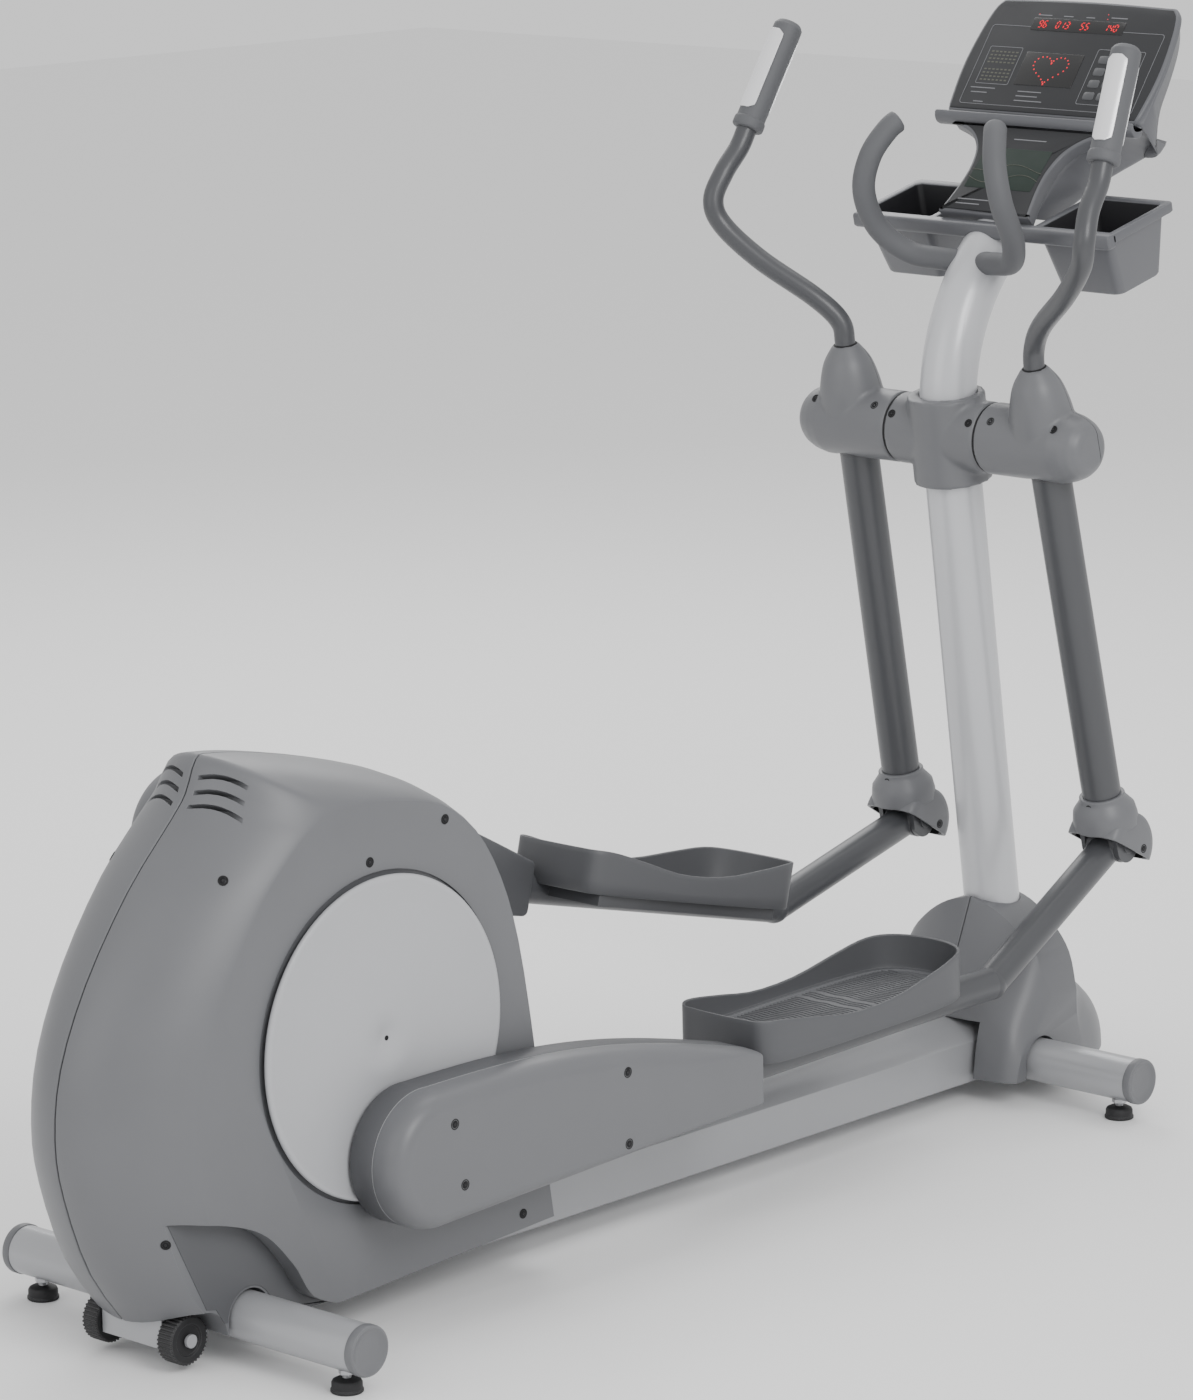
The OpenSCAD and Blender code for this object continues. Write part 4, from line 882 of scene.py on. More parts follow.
# ---- Mast, hub and fixed handles ----
@dataclass
class Mast(SubAssembly):
    """The bent silver mast, the saddle round its hub and the fixed bullhorn handles."""

    radius: float = 42.0
    lean: float = 8.4
    bend_radius: float = 285.0
    bend: float = 64.0
    hub: tuple = (1567.0, 1005.0)
    foot: float = 127.0
    bend_from: float = 4.0
    horn_root: tuple = (1612, 18, 1262)
    horn_radius: float = 17.0
    horn: tuple = ((14, -14, -20), (4, 8, -10), (-4, 30, -8), (-22, 78, 0), (-58, 108, 38), (-88, 110, 94),
                   (-88, 98, 146), (-68, 82, 184), (-52, 71, 199))

    def build(self) -> None:
        """Makes the mast, the saddle and the handles."""
        place = self.datum.machine
        mast = MeshKit(place).tube(self.path(), lambda t: self.radius, 72).piece("mast_tube", 50)
        self.show(mast, MAST_COAT, "frame", "mast", "mast_neck")
        saddle = softened_copy("mast_saddle", "hub_saddle", 3.0, 5)
        self.show(saddle, ABS_GREY, "frame", "mast_saddle")
        for side in Side:
            self.fixed_handle(side)
            for number, (angle, y) in enumerate(((150, 72), (30, 72))):
                out = polar(1, angle)
                at = Vector((self.hub[0], 0, self.hub[1])) + Vector((out.x, 0, out.y)) * 52.6
                at += Vector((0, y * side.value, 0))
                self.screw(place, at, (out.x, 0, out.y), f"saddle_screw_{side.word}_{number}", "frame", 6.4)

    def path(self) -> list[Vector]:
        """The mast's centre line from its foot to the console."""
        slope = math.tan(math.radians(self.lean))
        top = self.hub[1] + self.bend_from
        low = Vector((self.hub[0] - (self.foot - self.hub[1]) * slope, 0, self.foot))
        start = Vector((self.hub[0] - self.bend_from * slope, 0, top))
        turn = Matrix.Rotation(math.radians(-self.lean), 3, "Y")
        curve = []
        steps = 28
        for i in range(steps + 1):
            a = math.radians(self.bend * i / steps)
            curve.append(start + turn @ Vector((self.bend_radius * (1 - math.cos(a)), 0,
                                                self.bend_radius * math.sin(a))))
        return [low, low.lerp(start, 0.5)] + curve

    def hollow(self) -> bpy.types.Object:
        """A cutter for a piece that fits round the mast."""
        return MeshKit(self.datum.machine).tube(self.path(), lambda t: self.radius + 0.4, 48).piece("cut")

    def fixed_handle(self, side: Side) -> None:
        """Makes one bullhorn: a rubber-covered bar with a round end."""
        place = mirrored(self.datum.machine, side)
        root = Vector(self.horn_root)
        path = [root + p for p in spline(self.horn, 8)]
        r = self.horn_radius
        girth = lambda t: r if t < 0.955 else r * math.sqrt(max(0.02, 1 - ((t - 0.955) / 0.047) ** 2))
        bar = MeshKit(place).tube(path, girth, 40).piece(f"fixed_handle_{side.word}", 50)
        self.show(bar, GRIP_RUBBER, "frame", *(("fixed_handles",) if side is Side.LEFT else ()))


# ---- Swing arms ----
@dataclass
class SwingArm(SidedAssembly):
    """A swing arm: hub cover with its egg-shaped dome, tube, yoke cover, handlebar, grip and pulse plates."""

    length: float = 645.0
    hub_radius: float = 53.0
    collar: float = 84.0
    end: float = 264.0
    tube_radius: float = 29.0
    bar_radius: float = 15.5
    grip_radius: float = 22.0
    grip_low: tuple = (34, 160, 444)
    grip_top: tuple = (132, 147, 562)
    plate_length: float = 128.0
    hood_radius: float = 54.0
    hood_half: float = 47.0
    hood_top: float = -562.0
    mouth_angle: float = 48.0           # below straight back
    bar: tuple = ((0, 0, 60), (0, 0, 118), (2, 6, 154), (-12, 38, 194), (-40, 110, 254), (-56, 160, 308),
                  (-56, 173, 346), (-30, 168, 382))

    def build(self) -> None:
        """Makes the arm's pieces."""
        self.place = self.datum.swing(self.side)
        self.body = f"{self.side.word}_swing_arm"
        self.hub_cover()
        self.tube()
        self.yoke()
        self.handlebar()
        self.grip()
        self.pulse_plates()

    def hub_cover(self) -> None:
        """Makes the hub cover as two moulded halves that meet in a seam, with its screws."""
        obj = softened_copy(self.named("hub_cover"), self.named("hub_shell"), 2.4, 9)
        normal = self.place(Vector((1, 0, 0))) - self.place(Vector((0, 0, 0)))
        slit(obj, self.place(Vector((16, 0, 0))), normal, 0.9)
        self.show(obj, ABS_GREY, self.body, self.named("hub_cover"))
        for number, (angle, y) in enumerate(((128, self.collar + 26), (128, self.end - 40),
                                             (-60, self.end - 40))):
            out = polar(1, angle)
            radius = self.hub_radius - 0.6 if y < self.end - 50 else self.hub_radius - 1.6
            self.screw(self.place, (out.x * radius, y, out.y * radius), (out.x, 0.0, out.y),
                       self.named(f"hub_screw_{number}"), self.body, 6.4)
        hub, bar = self.hub_radius, self.bar_radius
        # Painted shadow: near-black rings stand in for the shade in the collar's gap and where the bar enters
        # the cover
        ring = MeshKit(self.place).lathe([(hub - 6, 0), (hub - 2, 0), (hub - 2, 3.2), (hub - 6, 3.2)],
                                         (0, self.collar - 1.6, 0), (0, 1, 0), 72)
        self.show(ring.piece(self.named("hub_gap_ring")), SHADOW_GAP, self.body)
        shadow_collar = [(bar + 0.3, 0), (bar + 2.8, 0), (bar + 2.4, 2.2), (bar + 0.6, 3.0)]
        collar = MeshKit(self.place).lathe(shadow_collar, (0, self.reach, 118), (0, 0, 1), 40)
        self.show(collar.piece(self.named("bar_seal")), SHADOW_GAP, self.body)

    def tube(self) -> None:
        """Keeps the CAD swing tube, and sleeves its straight length with a smooth skin."""
        r = self.tube_radius + 0.25
        low, high = self.length - 58 - 26, self.hub_radius - 6
        profile = [(r - 1.5, -low), (r, -low), (r, -high), (r - 1.5, -high)]
        sleeve = MeshKit(self.place).lathe(profile, (0, self.reach, 0), (0, 0, 1), 72)
        self.show(sleeve.piece(self.named("swing_tube_coat"), 50), ARM_COAT, self.body)

    def hood(self, radius: float, half: float, wall: float, word: str) -> bpy.types.Object:
        """Makes a hollow round moulding over the lower pivot, with its mouth towards the pedal arm.

        Args:
            radius: its outer radius.
            half: half its width across the machine.
            wall: its wall thickness.
            word: the piece's name before its side.

        Returns:
            The hollow moulding, open at its mouth and its neck.
        """
        at = (0, self.reach, -self.length)
        drum = [(0, -half), (radius - 15, -half), (radius - 7, -half + 2), (radius - 2, -half + 7),
                (radius, -half + 15), (radius, half - 15), (radius - 2, half - 7), (radius - 7, half - 2),
                (radius - 15, half), (0, half)]
        inside = [(0, wall - half), (radius - 16, wall - half), (radius - wall, 16 - half),
                  (radius - wall, half - 16), (radius - 16, half - wall), (0, half - wall)]
        obj = MeshKit(self.place).lathe(drum, at, (0, 1, 0), 96).piece(self.named(word))
        hollow = MeshKit(self.place).lathe(inside, at, (0, 1, 0), 96).piece("cut")
        # the mouth is everything behind a slanted plane near the pin
        down = polar(1, 180 + self.mouth_angle)
        side = Vector((-down.y, down.x))
        corners = [side * 90 + down * 4, side * -90 + down * 4, side * -90 + down * 120,
                   side * 90 + down * 120]
        mouth = [Vector((c.x, c.y - self.length)) for c in corners]
        block = MeshKit(self.place).across(mouth, [(self.reach - half - 5, 0), (self.reach + half + 5, 0)])
        neck = self.tube_radius + 0.6
        bore = MeshKit(self.place).lathe([(0, 0), (neck, 0), (neck, 60), (0, 60)],
                                         (0, self.reach, radius * 0.5 - self.length), (0, 0, 1), 64)
        carve(obj, [hollow, block.piece("cut"), bore.piece("cut")])
        return obj

    def yoke(self) -> None:
        """Makes the hood over the lower pivot, its inside painted black as shade, its collar and its screws.
        """
        pivot, half, r = -self.length, self.hood_half, self.hood_radius
        obj = self.hood(r, half, 3.2, "yoke_shell")
        round_edges(obj, 1.2, 50)
        self.show(obj, ABS_GREY, self.body, self.named("yoke_cover"))
        # Painted shade: a near-black inner shell stands in for the shadow inside the hood
        self.show(self.hood(r - 3.6, half - 3.6, 0.9, "yoke_liner"), SHADOW_GAP, self.body)
        low, high, tube = pivot + r - 12, self.hood_top, self.tube_radius
        collar = MeshKit(self.place).lathe(
            [(r - 8, low - 8), (r - 5, low - 8), (r - 5, low + 4), (r - 7.5, high - 22),
             (tube + 9, high - 11), (tube + 5.5, high - 6), (tube + 5.5, high - 1.5), (tube + 4, high),
             (tube + 0.6, high)],
            (0, self.reach, 0), (0, 0, 1), 72)
        self.show(collar.piece(self.named("yoke_collar"), 40), ABS_GREY, self.body)
        for number, out in enumerate((1, -1)):
            self.screw(self.place, (20, self.reach + out * (half - 0.4), pivot - 10), (0, out, 0),
                       self.named(f"yoke_screw_{number}"), self.body)
        self.screw(self.place, (-self.tube_radius - 5.2, self.reach, high - 9), (-1, 0, 0),
                   self.named("yoke_collar_screw"), self.body, 5.0)

    def handlebar(self) -> None:
        """Makes the bent bar from the dome up to the grip."""
        base = Vector((0, self.reach, 0))
        low, top = Vector(self.grip_low), Vector(self.grip_top)
        along = (top - low).normalized()
        path = [base + p for p in spline([*self.bar, low - 44 * along, low - 12 * along, low], 8)]
        bar = MeshKit(self.place).tube([p for p in path if p.z > 80], lambda t: self.bar_radius, 40)
        self.show(bar.piece(self.named("handlebar_tube"), 50), ARM_COAT, self.body, self.named("handlebar"))

    def grip_frame(self, start: float) -> tuple[Vector, Vector]:
        """Returns a point along the grip's axis and the axis."""
        low, top = Vector(self.grip_low), Vector(self.grip_top)
        along = (top - low).normalized()
        return Vector((0, self.reach, 0)) + low + start * along, along

    def grip(self) -> None:
        """Makes the over-moulded grip: a rolled collar, a long barrel and a domed end."""
        at, along = self.grip_frame(-14)
        length = (Vector(self.grip_top) - Vector(self.grip_low)).length + 8
        r = self.grip_radius
        profile = [(self.bar_radius, 0), (r - 1.5, 0), (r + 0.6, 1.2), (r + 2, 4), (r + 2, 13),
                   (r + 0.8, 16), (r, 18), (r, 40), (r - 0.5, 85), (r, 130), (r, length + 2),
                   (r - 1.4, length + 7), (r - 4.2, length + 11),
                   (r - 9, length + 13.4), (0, length + 14)]
        smooth_profile = profile[:1] + [tuple(p) for p in spline(profile[1:], 3)]
        kit = MeshKit(self.place).lathe([(0, 0)] + smooth_profile, at, along, 64)
        self.show(kit.piece(self.named("grip_sleeve"), 60), GRIP_RUBBER, self.body, self.named("grip"))

    def pulse_plates(self) -> None:
        """Makes the two curved steel sensors, with round ends, let into the grip."""
        at, along = self.grip_frame(14)
        turn = Matrix.Rotation(math.atan2(along.y, along.x), 3, "Z")
        turn = turn @ Matrix.Rotation(math.acos(along.z), 3, "Y")
        for number, face in enumerate((130.0, 310.0)):
            span, r = 86.0, self.grip_radius + 0.3
            kit = MeshKit(self.place)
            rings = []
            steps = 22
            for i in range(steps + 1):
                height = self.plate_length * i / steps
                edge = min(height, self.plate_length - height)
                corner = 9.0
                pull = 0.0 if edge >= corner else corner - math.sqrt(corner ** 2 - (corner - edge) ** 2)
                half = span / 2 - math.degrees(pull / r)
                mid = face + 50
                outer = [Vector((*polar(r + 1.3, mid - half + 2 * half * k / 14), height)) for k in range(15)]
                inner = [Vector((*polar(r - 1.5, mid + half - 2 * half * k / 14), height)) for k in range(15)]
                rings.append([at + turn @ p for p in outer + inner])
            obj = kit.skin(rings).piece(self.named(f"pulse_plate_{number}"), 40)
            nodes = (self.named("pulse_plates"),) if number == 0 else ()
            self.show(obj, PULSE_STEEL, self.body, *nodes)


# ---- Pedal arms ----
@dataclass
class PedalArm(SidedAssembly):
    """A pedal arm: CAD tube, two-part crank cover and the foot tray with its mat."""

    eye_radius: float = 93.0
    length: float = 634.0
    front_height: float = 40.0
    rise: float = 34.0
    bow: float = 26.0
    inner_face: float = 152.0
    split: float = 194.0
    outer_face: float = 238.0
    tray_at: tuple = (650.0, 138.0, 8.0)
    tray_size: tuple = (478.0, 186.0)
    tray_floor: float = 19.0
    wall: float = 4.5
    tray_outline: tuple = ((0, -40), (6, -66), (40, -80), (150, -84), (290, -84), (372, -76), (408, -48),
                           (420, 0), (408, 48), (372, 76), (290, 84), (150, 84), (40, 80), (6, 66), (0, 40),
                           (-2, 0))
    rim: tuple = ((-10, 62), (30, 62), (90, 52), (160, 40), (240, 42), (320, 58), (380, 70), (440, 70))

    def build(self) -> None:
        """Makes the arm's pieces."""
        self.place = self.datum.pedal(self.side)
        self.body = f"{self.side.word}_pedal_arm"
        self.covers()
        self.tray()
        self.mat()

    def cover_outline(self) -> list[Vector]:
        """The crank cover seen from the side: a round eye, an arched back and a blunt front."""
        lean = math.degrees(math.asin((self.eye_radius - self.front_height) / self.length))
        eye = Vector((0, self.rise))
        top = eye + polar(self.eye_radius, 90 - lean)
        h, end, nose = self.front_height, self.length, 9.0
        loop = arc(eye, self.eye_radius, 90 - lean, 270 + lean, 56)
        loop += arc((end - nose, -h + nose), nose, 270, 360, 5) + arc((end - nose, h - nose), nose, 0, 90, 5)
        toe = Vector((end - nose, h))
        for i in range(1, 24):
            loop.append(toe + (top - toe) * (i / 24) + Vector((0, self.bow * math.sin(math.pi * i / 24))))
        return loop

    def covers(self) -> None:
        """Makes the inner and outer cover shells, the bright seam bead between them and four screws."""
        loop = self.cover_outline()
        inner = [(self.inner_face, 3.0), (self.inner_face + 0.8, 1.2), (self.inner_face + 2.6, 0.0),
                 (self.split - 1.8, 0.0), (self.split - 0.9, 0.6), (self.split - 0.6, 1.8)]
        obj = MeshKit(self.place).across(loop, inner).piece(self.named("crank_cover_inner"), 40)
        # Painted shade: the inner shell wears the darker copy of the ABS
        self.show(obj, ABS_PAINTED_SHADE, self.body, self.named("arm_cover_inner"))
        depth = self.outer_face - self.split
        outer = [(self.split + 0.4, 1.6), (self.split + 0.8, 0.4), (self.split + 1.8, 0.0)]
        for step in range(1, 15):
            share = step / 14
            outer.append((self.split + 1.8 + (depth - 1.8) * math.sin(share * math.pi / 2),
                          26 * (1 - math.cos(share * math.pi / 2)) ** 1.25))
        rings = [[Vector((p.x, y, p.y)) for p in self.crowned(loop, inset)] for y, inset in outer]
        shell = MeshKit(self.place).skin(rings).piece(self.named("crank_cover_outer"), 30)
        self.show(shell, ABS_GREY, self.body, self.named("arm_cover_outer"))
        bead = MeshKit(self.place).across(loop, [(self.split - 0.6, 1.4), (self.split - 0.2, 0.2),
                                                 (self.split + 0.4, 0.2), (self.split + 0.6, 1.4)])
        self.show(bead.piece(self.named("cover_seam_bead"), 80), ABS_PALE, self.body)
        for number, (x, z) in enumerate(((18, 82), (34, -4), (352, 74), (352, -26))):
            self.screw(self.place, (x, self.outer_face - 0.4, z), (0, 1, 0),
                       self.named(f"cover_screw_{number}"), self.body, 7.5)

    def crowned(self, loop: list[Vector], inset: float) -> list[Vector]:
        """The outline moved inwards, less so towards its blunt front."""
        share = [min(1.0, max(0.22, (self.length - p.x) / 150)) for p in loop]
        return [p + (q - p) * inset * s for p, q, s in zip(loop, inset_loop(loop, 1.0), share)]

    def tray_loop(self, inset: float) -> list[Vector]:
        """The tray's plan outline, moved in by a distance."""
        sx, sy = self.tray_size[0] / 420, self.tray_size[1] / 168
        loop = [Vector((p.x * sx, p.y * sy)) for p in spline(self.tray_outline, 5, closed=True)]
        return inset_loop(loop, inset) if inset else loop

    def rim_height(self, x: float) -> float:
        """How high the rim stands at a place along the tray."""
        line = [(p.x * self.tray_size[0] / 420, p.y) for p in spline(self.rim, 10)]
        for (x0, z0), (x1, z1) in zip(line, line[1:]):
            if x <= x1:
                return z0 + (z1 - z0) * max(0.0, (x - x0) / (x1 - x0))
        return line[-1][1]

    def tray(self) -> None:
        """Makes the tray as one thin-walled moulding with a rolled, waving rim and a filleted floor."""
        base = Vector(self.tray_at)
        rings = []

        def level(inset: float, height: Callable[[Vector], float]) -> None:
            """Adds one ring at an inset, with a height for each of its points."""
            outer = self.tray_loop(0)
            rings.append([base + Vector((p.x, p.y, height(o))) for p, o in zip(self.tray_loop(inset), outer)])

        top = lambda p: self.rim_height(p.x)
        level(7.0, lambda p: 0.0)
        level(2.0, lambda p: 0.6)
        level(0.2, lambda p: 3.0)
        for share in (0.3, 0.6, 0.9):
            level(0.0, lambda p, s=share: 3 + (top(p) - 5) * s)
        level(0.0, lambda p: top(p) - 1.4)
        level(0.7, lambda p: top(p) - 0.3)
        level(1.8, top)
        level(3.2, lambda p: top(p) - 0.3)
        level(self.wall, lambda p: top(p) - 1.6)
        level(self.wall + 0.4, lambda p: self.tray_floor + 9)
        level(self.wall + 2.2, lambda p: self.tray_floor + 2.4)
        level(self.wall + 7.0, lambda p: self.tray_floor)
        obj = MeshKit(self.place).skin(rings).piece(self.named("tray_moulding"), 40)
        self.show(obj, TRAY_NYLON, self.body, self.named("foot_tray"))

    def mat(self) -> None:
        """Makes the mat: a raised border round a field of fine cross ribs."""
        base = Vector(self.tray_at) + Vector((0, 0, self.tray_floor))
        border = []
        for inset, z in ((12, 0.0), (12.6, 2.2), (14, 3.0), (19, 3.0), (20.4, 2.2), (21, 1.0)):
            border.append([base + Vector((p.x, p.y, z)) for p in self.tray_loop(inset)])
        obj = MeshKit(self.place).skin(border).piece(self.named("tray_mat_border"), 40)
        self.show(obj, MAT_RUBBER, self.body)
        loop = self.tray_loop(23)
        kit = MeshKit(self.place)
        pitch = 8.0
        count = int((self.tray_size[0] - 60) / pitch)
        for k in range(count):
            x = 30 + pitch * k
            half = max((abs(p.y) for p in loop if abs(p.x - x) < 14), default=0.0) - 1.5
            if half < 20:
                continue
            steps = 18
            path = [base + Vector((x + 1.6 * math.sin(i * math.pi / 3), -half + 2 * half * i / steps, 0.9))
                    for i in range(steps + 1)]
            kit.tube(path, lambda t: 1.7, 8)
        self.show(kit.piece(self.named("tray_mat_ribs"), 70), TRAY_NYLON, self.body)


# ---- Accessory tray ----
@dataclass
class AccessoryTray(SubAssembly):
    """The front bar with two tapered bins, with their insides painted black as shade."""

    front: tuple = (1634.0, 1306.0)
    rear: tuple = (1790.0, 1343.0)
    width: float = 480.0
    inner_edge: float = 92.0
    drop: float = 104.0

    def build(self) -> None:
        """Makes the front bar and the bins, with the bins' painted shade."""
        a, b = Vector(self.front), Vector(self.rear)
        self.depth = (b - a).length
        tilt = math.atan2(b.y - a.y, b.x - a.x)
        turn = Matrix.Rotation(-tilt, 3, "Y")
        place = lambda p: self.datum.machine(Vector((a.x, 0, a.y)) + turn @ p)
        for side in Side:
            self.bin(mirrored(place, side), side)
        bar = MeshKit(place)
        half = self.width / 2
        loop = rounded_box((-5, -22), (17, 1), 6.0)
        obj = bar.across(loop, [(-half, 4), (-half + 2, 1.2), (-half + 6, 0), (half - 6, 0), (half - 2, 1.2),
                                (half, 4)]).piece("tray_front_bar", 40)
        carve(obj, [Mast(self.datum, self.paint).hollow()])
        self.show(obj, CONSOLE_ABS, "frame", "accessory_tray")

    def bin(self, place: Place, side: Side) -> None:
        """Makes one bin: a rolled flange, tapered walls and an inside painted black as shade."""
        y0, y1, d = self.inner_edge, self.width / 2, self.depth

        def ring(z: float, front: float, back: float, inner: float, outer: float,
                 radius: float) -> list[Vector]:
            """A rounded rectangle at a depth, inset from the flange on each of its sides."""
            return [Vector((p.x, p.y, z)) for p in rounded_box((front, y0 + inner), (d - back, y1 - outer),
                                                               radius, 6)]

        outer = [ring(-self.drop, 34, 26, 18, 22, 14), ring(-self.drop + 3, 31, 23, 16, 20, 15),
                 ring(-20, 10, 14, 9, 10, 12), ring(-15, 8, 11, 8, 8, 12), ring(-14, 0.8, 3, 0.8, 0.8, 10),
                 ring(-12.5, 0, 0, 0, 0, 10), ring(-1.8, 0, 0, 0, 0, 10),
                 ring(-0.5, 0.6, 0.6, 0.6, 0.6, 10), ring(0, 2, 2, 2, 2, 9),
                 ring(0, 10, 14, 10, 10, 9), ring(-1.2, 12, 16, 12, 12, 9),
                 ring(-self.drop + 6, 38, 30, 22, 26, 11)]
        obj = MeshKit(place).skin(outer).piece(f"bin_{side.word}", 35)
        self.show(obj, CONSOLE_ABS, "frame")
        # Painted shade: a black skin over the bin's inside stands in for the shadow in it
        shade_rings = [ring(-2.2, 13, 17, 13, 13, 9), ring(-self.drop + 7.5, 39, 31, 23, 27, 10),
                 ring(-self.drop + 7, 42, 34, 26, 30, 8)]
        shade = MeshKit(place).skin(list(reversed(shade_rings)), capped=False)
        shade.mesh.verts.ensure_lookup_table()
        shade.mesh.faces.new(shade.mesh.verts[:len(shade_rings[0])])
        self.show(shade.piece(f"bin_liner_{side.word}", 35), BLACK_NYLON, "frame")


# ---- Console ----
@dataclass
class Console(SubAssembly):
    """The console: flared back shell, printed face with its lamps, reading ledge and waist panel."""

    face_low: tuple = (1782.0, 1456.0)
    face_size: tuple = (352.0, 186.0)
    face_tilt: float = 37.0
    ledge_width: float = 372.0
    waist_low: tuple = (1646.0, 1318.0)
    waist_top: tuple = (1764.0, 1436.0)
    digits: tuple = (("96", -68.0), ("013", -31.0), ("55", 10.0), ("140", 59.0))
    digit_pitch: float = 8.8
    # lit bars of each figure: top, upper right, lower right, bottom, lower left, upper left, middle
    bars = {"0": "1111110", "1": "0110000", "3": "1111001", "4": "0110011", "5": "1011011", "6": "1011111",
            "9": "1111011"}

    def build(self) -> None:
        """Makes the console's pieces."""
        turn = Matrix.Rotation(math.radians(self.face_tilt), 3, "Y")
        low = Vector((self.face_low[0], 0, self.face_low[1]))
        # (across to the user's right, up the slope, out of the face)
        self.face = lambda p: self.datum.machine(low + turn @ Vector((-p.z, -p.x, p.y)))
        a, b = (Vector((x, 0, z)) for x, z in (self.waist_low, self.waist_top))
        self.waist_length = (b - a).length
        up = (b - a).normalized()
        out = Vector((-up.z, 0, up.x))
        self.waist = lambda p: self.datum.machine(a + up * p.y + out * p.z + Vector((0, -p.x, 0)))
        self.back_shell()
        self.overlay()
        self.displays()
        self.panels()
        self.ledge()
        self.waist_panel()

    def plate(self, place: Place, loop: Points, low: float, high: float, name: str, finish: Finish,
              *nodes: str, edge: float = 0.4) -> None:
        """Makes a thin plate with a rounded edge on a slanted face."""
        layers = [(low, 0.0), (high - edge, 0.0), (high - edge * 0.3, edge * 0.35), (high, edge)]
        rings = [[Vector((p.x, p.y, z)) for p in (inset_loop(loop, inset) if inset else loop)]
                 for z, inset in layers]
        self.show(MeshKit(place).skin(rings).piece(name, 40), finish, "frame", *nodes)

    def face_loop(self, grow: float) -> list[Vector]:
        """The console's front outline, with gently bowed sides."""
        w, h = self.face_size[0] / 2, self.face_size[1]
        right = [(w - 4, 0), (w + 2, h * 0.3), (w + 2, h * 0.55), (w - 5, h * 0.85), (w - 16, h)]
        top = [(w - 40, h + 4), (0, h + 7), (-w + 40, h + 4)]
        loop = spline([*right, *top, *[(-x, y) for x, y in reversed(right)]], 6)
        return inset_loop(loop, -grow) if grow else loop

    def back_shell(self) -> None:
        """Makes the housing: wings that flare from the waist to the ledge, then follow the face."""
        turn = Matrix.Rotation(math.radians(self.face_tilt), 3, "Y")
        low = Vector((self.face_low[0], 0, self.face_low[1]))

        def station(front: Vector, back: Vector, half: float, back_half: float) -> list[Vector]:
            """A rounded ring across the housing, from its front to its back."""
            loop = rounded_box((-1, 0), (1, 1), 0.14, 4)
            spread = lambda p: p.x * (half + (back_half - half) * p.y)
            return [front.lerp(back, p.y) + Vector((0, spread(p), 0)) for p in loop]

        rings = []
        for x0, x1, z0, z1, half, back_half in (
                (1666, 1744, 1316, 1304, 74, 62), (1706, 1790, 1358, 1334, 72, 76),
                (1738, 1830, 1390, 1364, 76, 104), (1768, 1862, 1420, 1394, 112, 146),
                (1782, 1880, 1440, 1416, 172, 166)):
            rings.append(station(Vector((x0, 0, z0)), Vector((x1, 0, z1)), half, back_half))
        w = self.face_size[0] / 2
        for u, half, depth in ((-2, w + 8, 92), (20, w + 11, 66), (50, w + 12, 48), (90, w + 12, 42),
                               (130, w + 8, 40), (160, w + 2, 38), (180, w - 5, 34), (189, w - 12, 26),
                               (193, w - 22, 14)):
            front = low + turn @ Vector((1.0, 0, u))
            back = low + turn @ Vector((depth, 0, u - 6))
            rings.append(station(front, back, half, half - 16))
        smooth_rings = []
        for column in zip(*rings):
            smooth_rings.append(spline(column, 3))
        shell = MeshKit(self.datum.machine).skin(list(zip(*smooth_rings))).piece("console_shell", 50)
        carve(shell, [Mast(self.datum, self.paint).hollow()])
        self.show(shell, CONSOLE_ABS, "frame", "console_housing", "console_neck")

    def overlay(self) -> None:
        """Makes the bezel rim and the printed overlay."""
        self.plate(self.face, self.face_loop(5.5), -8.0, 1.0, "console_bezel", CONSOLE_ABS, edge=3.0)
        self.plate(self.face, self.face_loop(0.5), -2.0, 2.0, "console_overlay", OVERLAY, "console_face",
                   edge=0.6)

    def stripe(self, kit: MeshKit, corner: tuple, size: tuple, layers: tuple) -> None:
        """Prints one raised bar, from its low corner and between two heights."""
        (x, y), (wide, tall) = corner, size
        loop = ((x, y), (x + wide, y), (x + wide, y + tall), (x, y + tall))
        kit.skin([[Vector((px, py, z)) for px, py in loop] for z in layers])

    def line_frame(self, loop: Points, name: str, finish: Finish, width: float = 0.9) -> None:
        """Prints an outline of one line's width on the overlay."""
        kit = MeshKit(self.face)
        outer, inner = loop, inset_loop(loop, width)
        rings = [[Vector((p.x, p.y, 1.9)) for p in outer], [Vector((p.x, p.y, 2.15)) for p in outer],
                 [Vector((p.x, p.y, 2.15)) for p in inner], [Vector((p.x, p.y, 1.9)) for p in inner]]
        kit.skin(rings, looped=True)
        self.show(kit.piece(name, 60), finish, "frame")

    def figure(self, kit: MeshKit, digit: str, x: float, y: float, wide: float, tall: float) -> None:
        """Adds one slanted seven-bar figure."""
        w, h, t = wide, tall / 2, 1.1
        bars = (((t, 2 * h), (w - t, 2 * h)), ((w, 2 * h - t), (w, h + t)), ((w, h - t), (w, t)),
                ((t, 0), (w - t, 0)), ((0, t), (0, h - t)), ((0, h + t), (0, 2 * h - t)),
                ((t, h), (w - t, h)))
        for lit, (a, b) in zip(self.bars[digit], bars):
            if lit == "1":
                pts = [Vector((x + p[0] + 0.16 * p[1], y + p[1], 2.75)) for p in (a, b)]
                kit.tube([pts[0], pts[0].lerp(pts[1], 0.5), pts[1]], lambda s: 0.75, 6)

